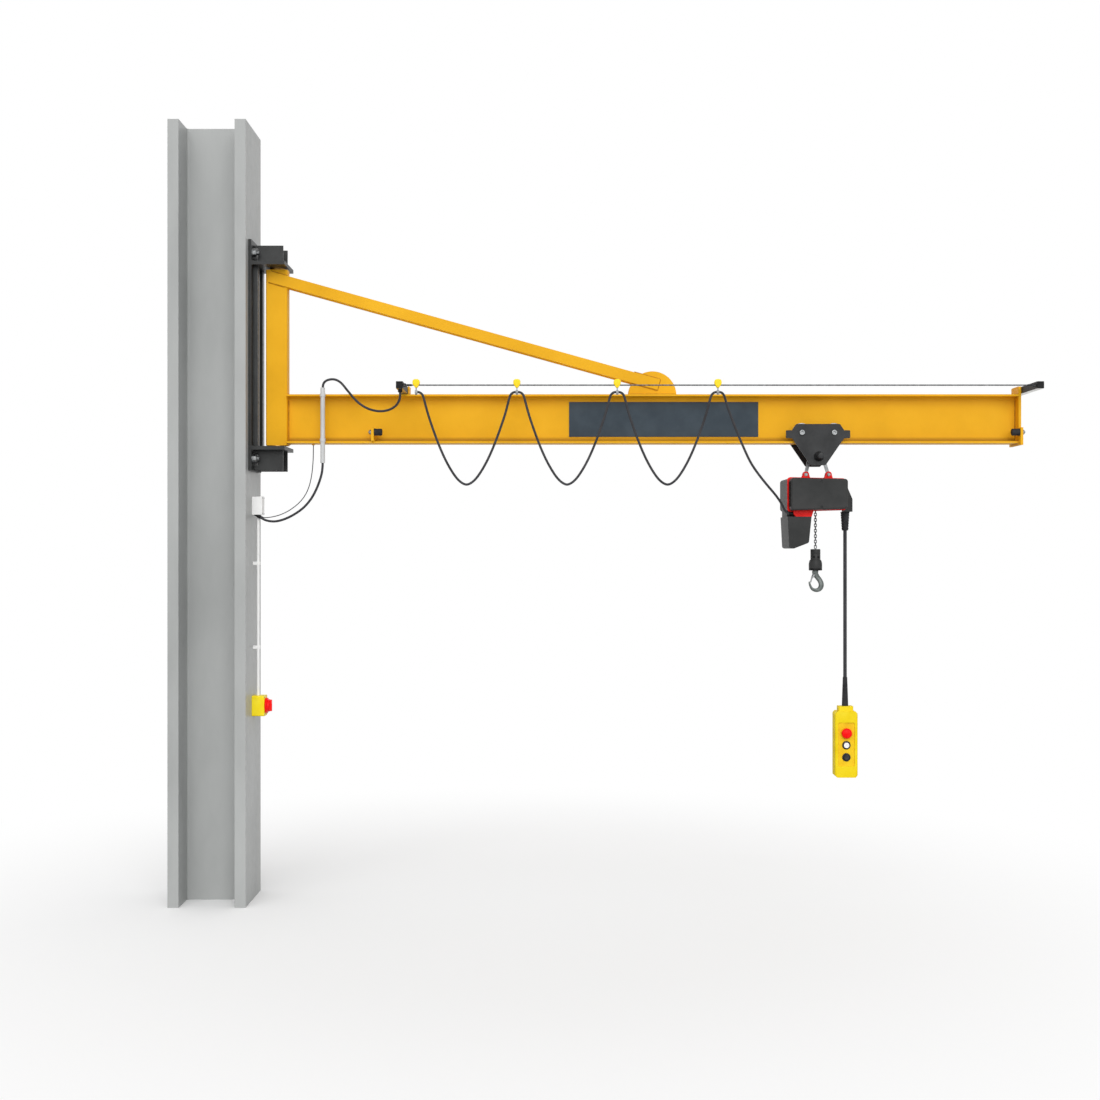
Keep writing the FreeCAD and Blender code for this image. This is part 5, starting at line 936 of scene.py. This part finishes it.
TIE_TOP = np.array([309, 0, 3463.5])
TIE_FOOT = np.array([2471, 0, 2863.5])
TIE_EDGE = 31
tie_run = unit(TIE_FOOT - TIE_TOP)
tie_up = np.array([-tie_run[2], 0, tie_run[0]])
END_FACE = BEAM_END - 1
seams = []
for y in (-42.0, 42.0):
    face = np.array([0, y, 0])
    for edge in (-TIE_EDGE, TIE_EDGE):
        for end, stretch in ((TIE_TOP, (4, 98)), (TIE_FOOT, (-150, 0))):
            seams.append([end + face + tie_up * edge + tie_run * d for d in stretch] + [4])
    foot = TIE_FOOT + face
    seams.append((foot + tie_up * TIE_EDGE, foot - tie_up * TIE_EDGE, 4))
seams += [((2305, y, 2810), (2567, y, 2810), 4) for y in (-41, -27, 27, 41)]
seams += [((x, -half, z), (x, half, z), 4.5) for z in (BEAM_LOW - 1, BEAM_TOP + 1)
          for x, half in ((410, 39), (END_FACE, 67))]
seams += [((END_FACE, y0, z), (END_FACE, y1, z), 4)
          for z in (BEAM_LOW + FLANGE + 1, BEAM_TOP - FLANGE - 1) for y0, y1 in ((-66, -18), (18, 66))]
seams += [((x, y, 2566), (x, y, top), 4) for y in (-4, 4)
          for x, top in ((END_FACE, 2780), (410, 2780), (880, 2619))]
seams += [((x, -44, BEAM_TOP + 1), (x, 44, BEAM_TOP + 1), 3.5) for x in (1078, 1088)]
piece("jib_welds", [(weld(*seam), shaded_weld_yellow) for seam in seams], "jib")

SEAM_X = PLATE_X + 1
OUTER_SIDES = (LOWER_SHELF[0] - 1, UPPER_SHELF[1] + 1)
INNER_SIDES = (LOWER_SHELF[1] + 1, UPPER_SHELF[0] - 1)
seams = [((SEAM_X, y, 2520), (SEAM_X, y, 3510), 4) for y in (-95, -45, 45, 95)]
seams += [((SEAM_X, -143, z), (SEAM_X, 143, z), 4.5) for z in sorted(OUTER_SIDES + INNER_SIDES)]
for y in (-77, -63, 63, 77):
    seams += [((240, y, z), (390, y, z), 3.5) for z in OUTER_SIDES]
    seams += [((SEAM_X, y, low), (SEAM_X, y, high), 3.5) for low, high in ((2390, 2412), (3620, 3628))]
piece("console_welds", [(weld(*seam), shaded_weld_dark) for seam in seams], "column")

# Bright zinc strips on the ribs' outer faces: painted highlight of those faces
ribs = [(block(255.5, 257.2, y - 24, y + 24, 2524, 3506, 2, 0.4, "yz"), zinc) for y in (-70, 70)]
piece("rib_face_highlights", ribs, "column")


# Isolator and junction box

KNOB_RING = ((38, 0), (42, 0.6), (43, 2), (43, 10), (41.6, 12), (34, 12))
KNOB_DISC = ((34, 11), (34, 22), (32.6, 24.4), (30, 25), (0, 25))
knob = [(turned(profile, (KNOB_X, 0, KNOB_Z), RIGHT, 64), isolator_red)
        for profile in (KNOB_RING, KNOB_DISC)]
knob += [(block(KNOB_X + 20, KNOB_X + 35, -9, 9, KNOB_Z - 32, KNOB_Z + 32, 5, 3, "yz"), isolator_red),
         (block(KNOB_X + 34.4, KNOB_X + 35.4, -2, 2, KNOB_Z + 10, KNOB_Z + 28, 0.8, 0.3, "yz"),
          box_white)]
piece("isolator_handle", knob, "isolator_knob", ("isolator_knob",))
LID_SCREW = ((4, -0.5), (4, 0.6), (3.4, 1.2), (0, 1.2))
lid_screws = [(turned(LID_SCREW, (x, y, z), RIGHT, 20), zinc)
              for x, half, levels in ((281.5, 37, (1031, 1128)), (267.5, 28, (2149, 2236)))
              for z in levels for y in (-half, half)]
piece("box_screws", lid_screws, "column")


# Floor and light

def background_seen(tree):
    """Share of 1 for rays that come straight from the camera, off a reflection or through glass: the
    largest of the three."""
    rays = node(tree, "ShaderNodeLightPath").outputs
    seen = node(tree, "ShaderNodeMath", {"operation": "MAXIMUM"},
                {0: rays["Is Camera Ray"], 1: rays["Is Glossy Ray"]})
    return node(tree, "ShaderNodeMath", {"operation": "MAXIMUM"},
                {0: seen.outputs[0], 1: rays["Is Transmission Ray"]}).outputs[0]


FLOOR_HALF = 60.0
FLOOR_MIDDLE = (-1.6, 0.4, 0)
FADE_START = 1.2
FADE_END = 4.6


def floor():
    """Square floor, in metres. Its material is pale and takes the shadow near the crane, and turns to the
    white of the background with distance: w = smooth step of the distance from the crane's middle. The
    light that it throws back is that of a grey workshop floor."""
    mesh = bpy.data.meshes.new("studio_floor")
    corners = np.array([(-1, -1), (1, -1), (1, 1), (-1, 1)]) * FLOOR_HALF
    mesh.from_pydata(np.c_[corners, np.zeros(4)], [], [(0, 1, 2, 3)])
    material = bpy.data.materials.new("pale_studio_floor")
    material.use_nodes = True
    tree = material.node_tree
    body = tree.nodes["Principled BSDF"]
    body.inputs["Roughness"].default_value = 0.9
    place = node(tree, "ShaderNodeTexCoord").outputs["Object"]
    centred = node(tree, "ShaderNodeMapping", {"Location": FLOOR_MIDDLE}, {"Vector": place})
    away = node(tree, "ShaderNodeVectorMath", {"operation": "LENGTH"}, {0: centred.outputs["Vector"]})
    fade = node(tree, "ShaderNodeMapRange",
                {"interpolation_type": "SMOOTHSTEP", "From Min": FADE_START, "From Max": FADE_END},
                {"Value": away.outputs["Value"]})
    seen = background_seen(tree)
    tone = node(tree, "ShaderNodeMix", {"data_type": "RGBA", 6: linear("#B9B9B9"), 7: linear("#FAFAFA")},
                {0: seen})
    tree.links.new(tone.outputs[2], body.inputs["Base Color"])
    share = node(tree, "ShaderNodeMath", {"operation": "MULTIPLY"}, {0: seen, 1: fade.outputs["Result"]})
    white = node(tree, "ShaderNodeEmission", {"Strength": 1.0})
    mix = node(tree, "ShaderNodeMixShader", None,
               {0: share.outputs[0], 1: body.outputs["BSDF"], 2: white.outputs["Emission"]})
    tree.links.new(mix.outputs["Shader"], tree.nodes["Material Output"].inputs["Surface"])
    mesh.materials.append(material)
    placed("studio_floor", mesh)


# Each lamp's name, strength, turn and angular size in degrees
LAMPS = (("key", 0.35, (48, 0, -22), 30), ("fill", 1.4, (68, 0, 9), 45))


def light():
    """Even white surroundings and two large soft lamps, from the upper left and from the right."""
    world = bpy.data.worlds.new("studio")
    bpy.context.scene.world = world
    world.use_nodes = True
    tree = world.node_tree
    seen = background_seen(tree)
    level = node(tree, "ShaderNodeMapRange", {"To Min": 0.7, "To Max": 1.0}, {"Value": seen})
    background = tree.nodes["Background"].inputs
    tree.links.new(level.outputs["Result"], background["Strength"])
    background["Color"].default_value = (1, 1, 1, 1)
    for name, strength, turn, spread in LAMPS:
        lamp = bpy.data.lights.new(name, "SUN")
        lamp.energy = strength
        lamp.angle = math.radians(spread)
        placed(name, lamp).rotation_euler = [math.radians(value) for value in turn]


floor()
light()
bpy.context.scene.view_settings.view_transform = "Standard"
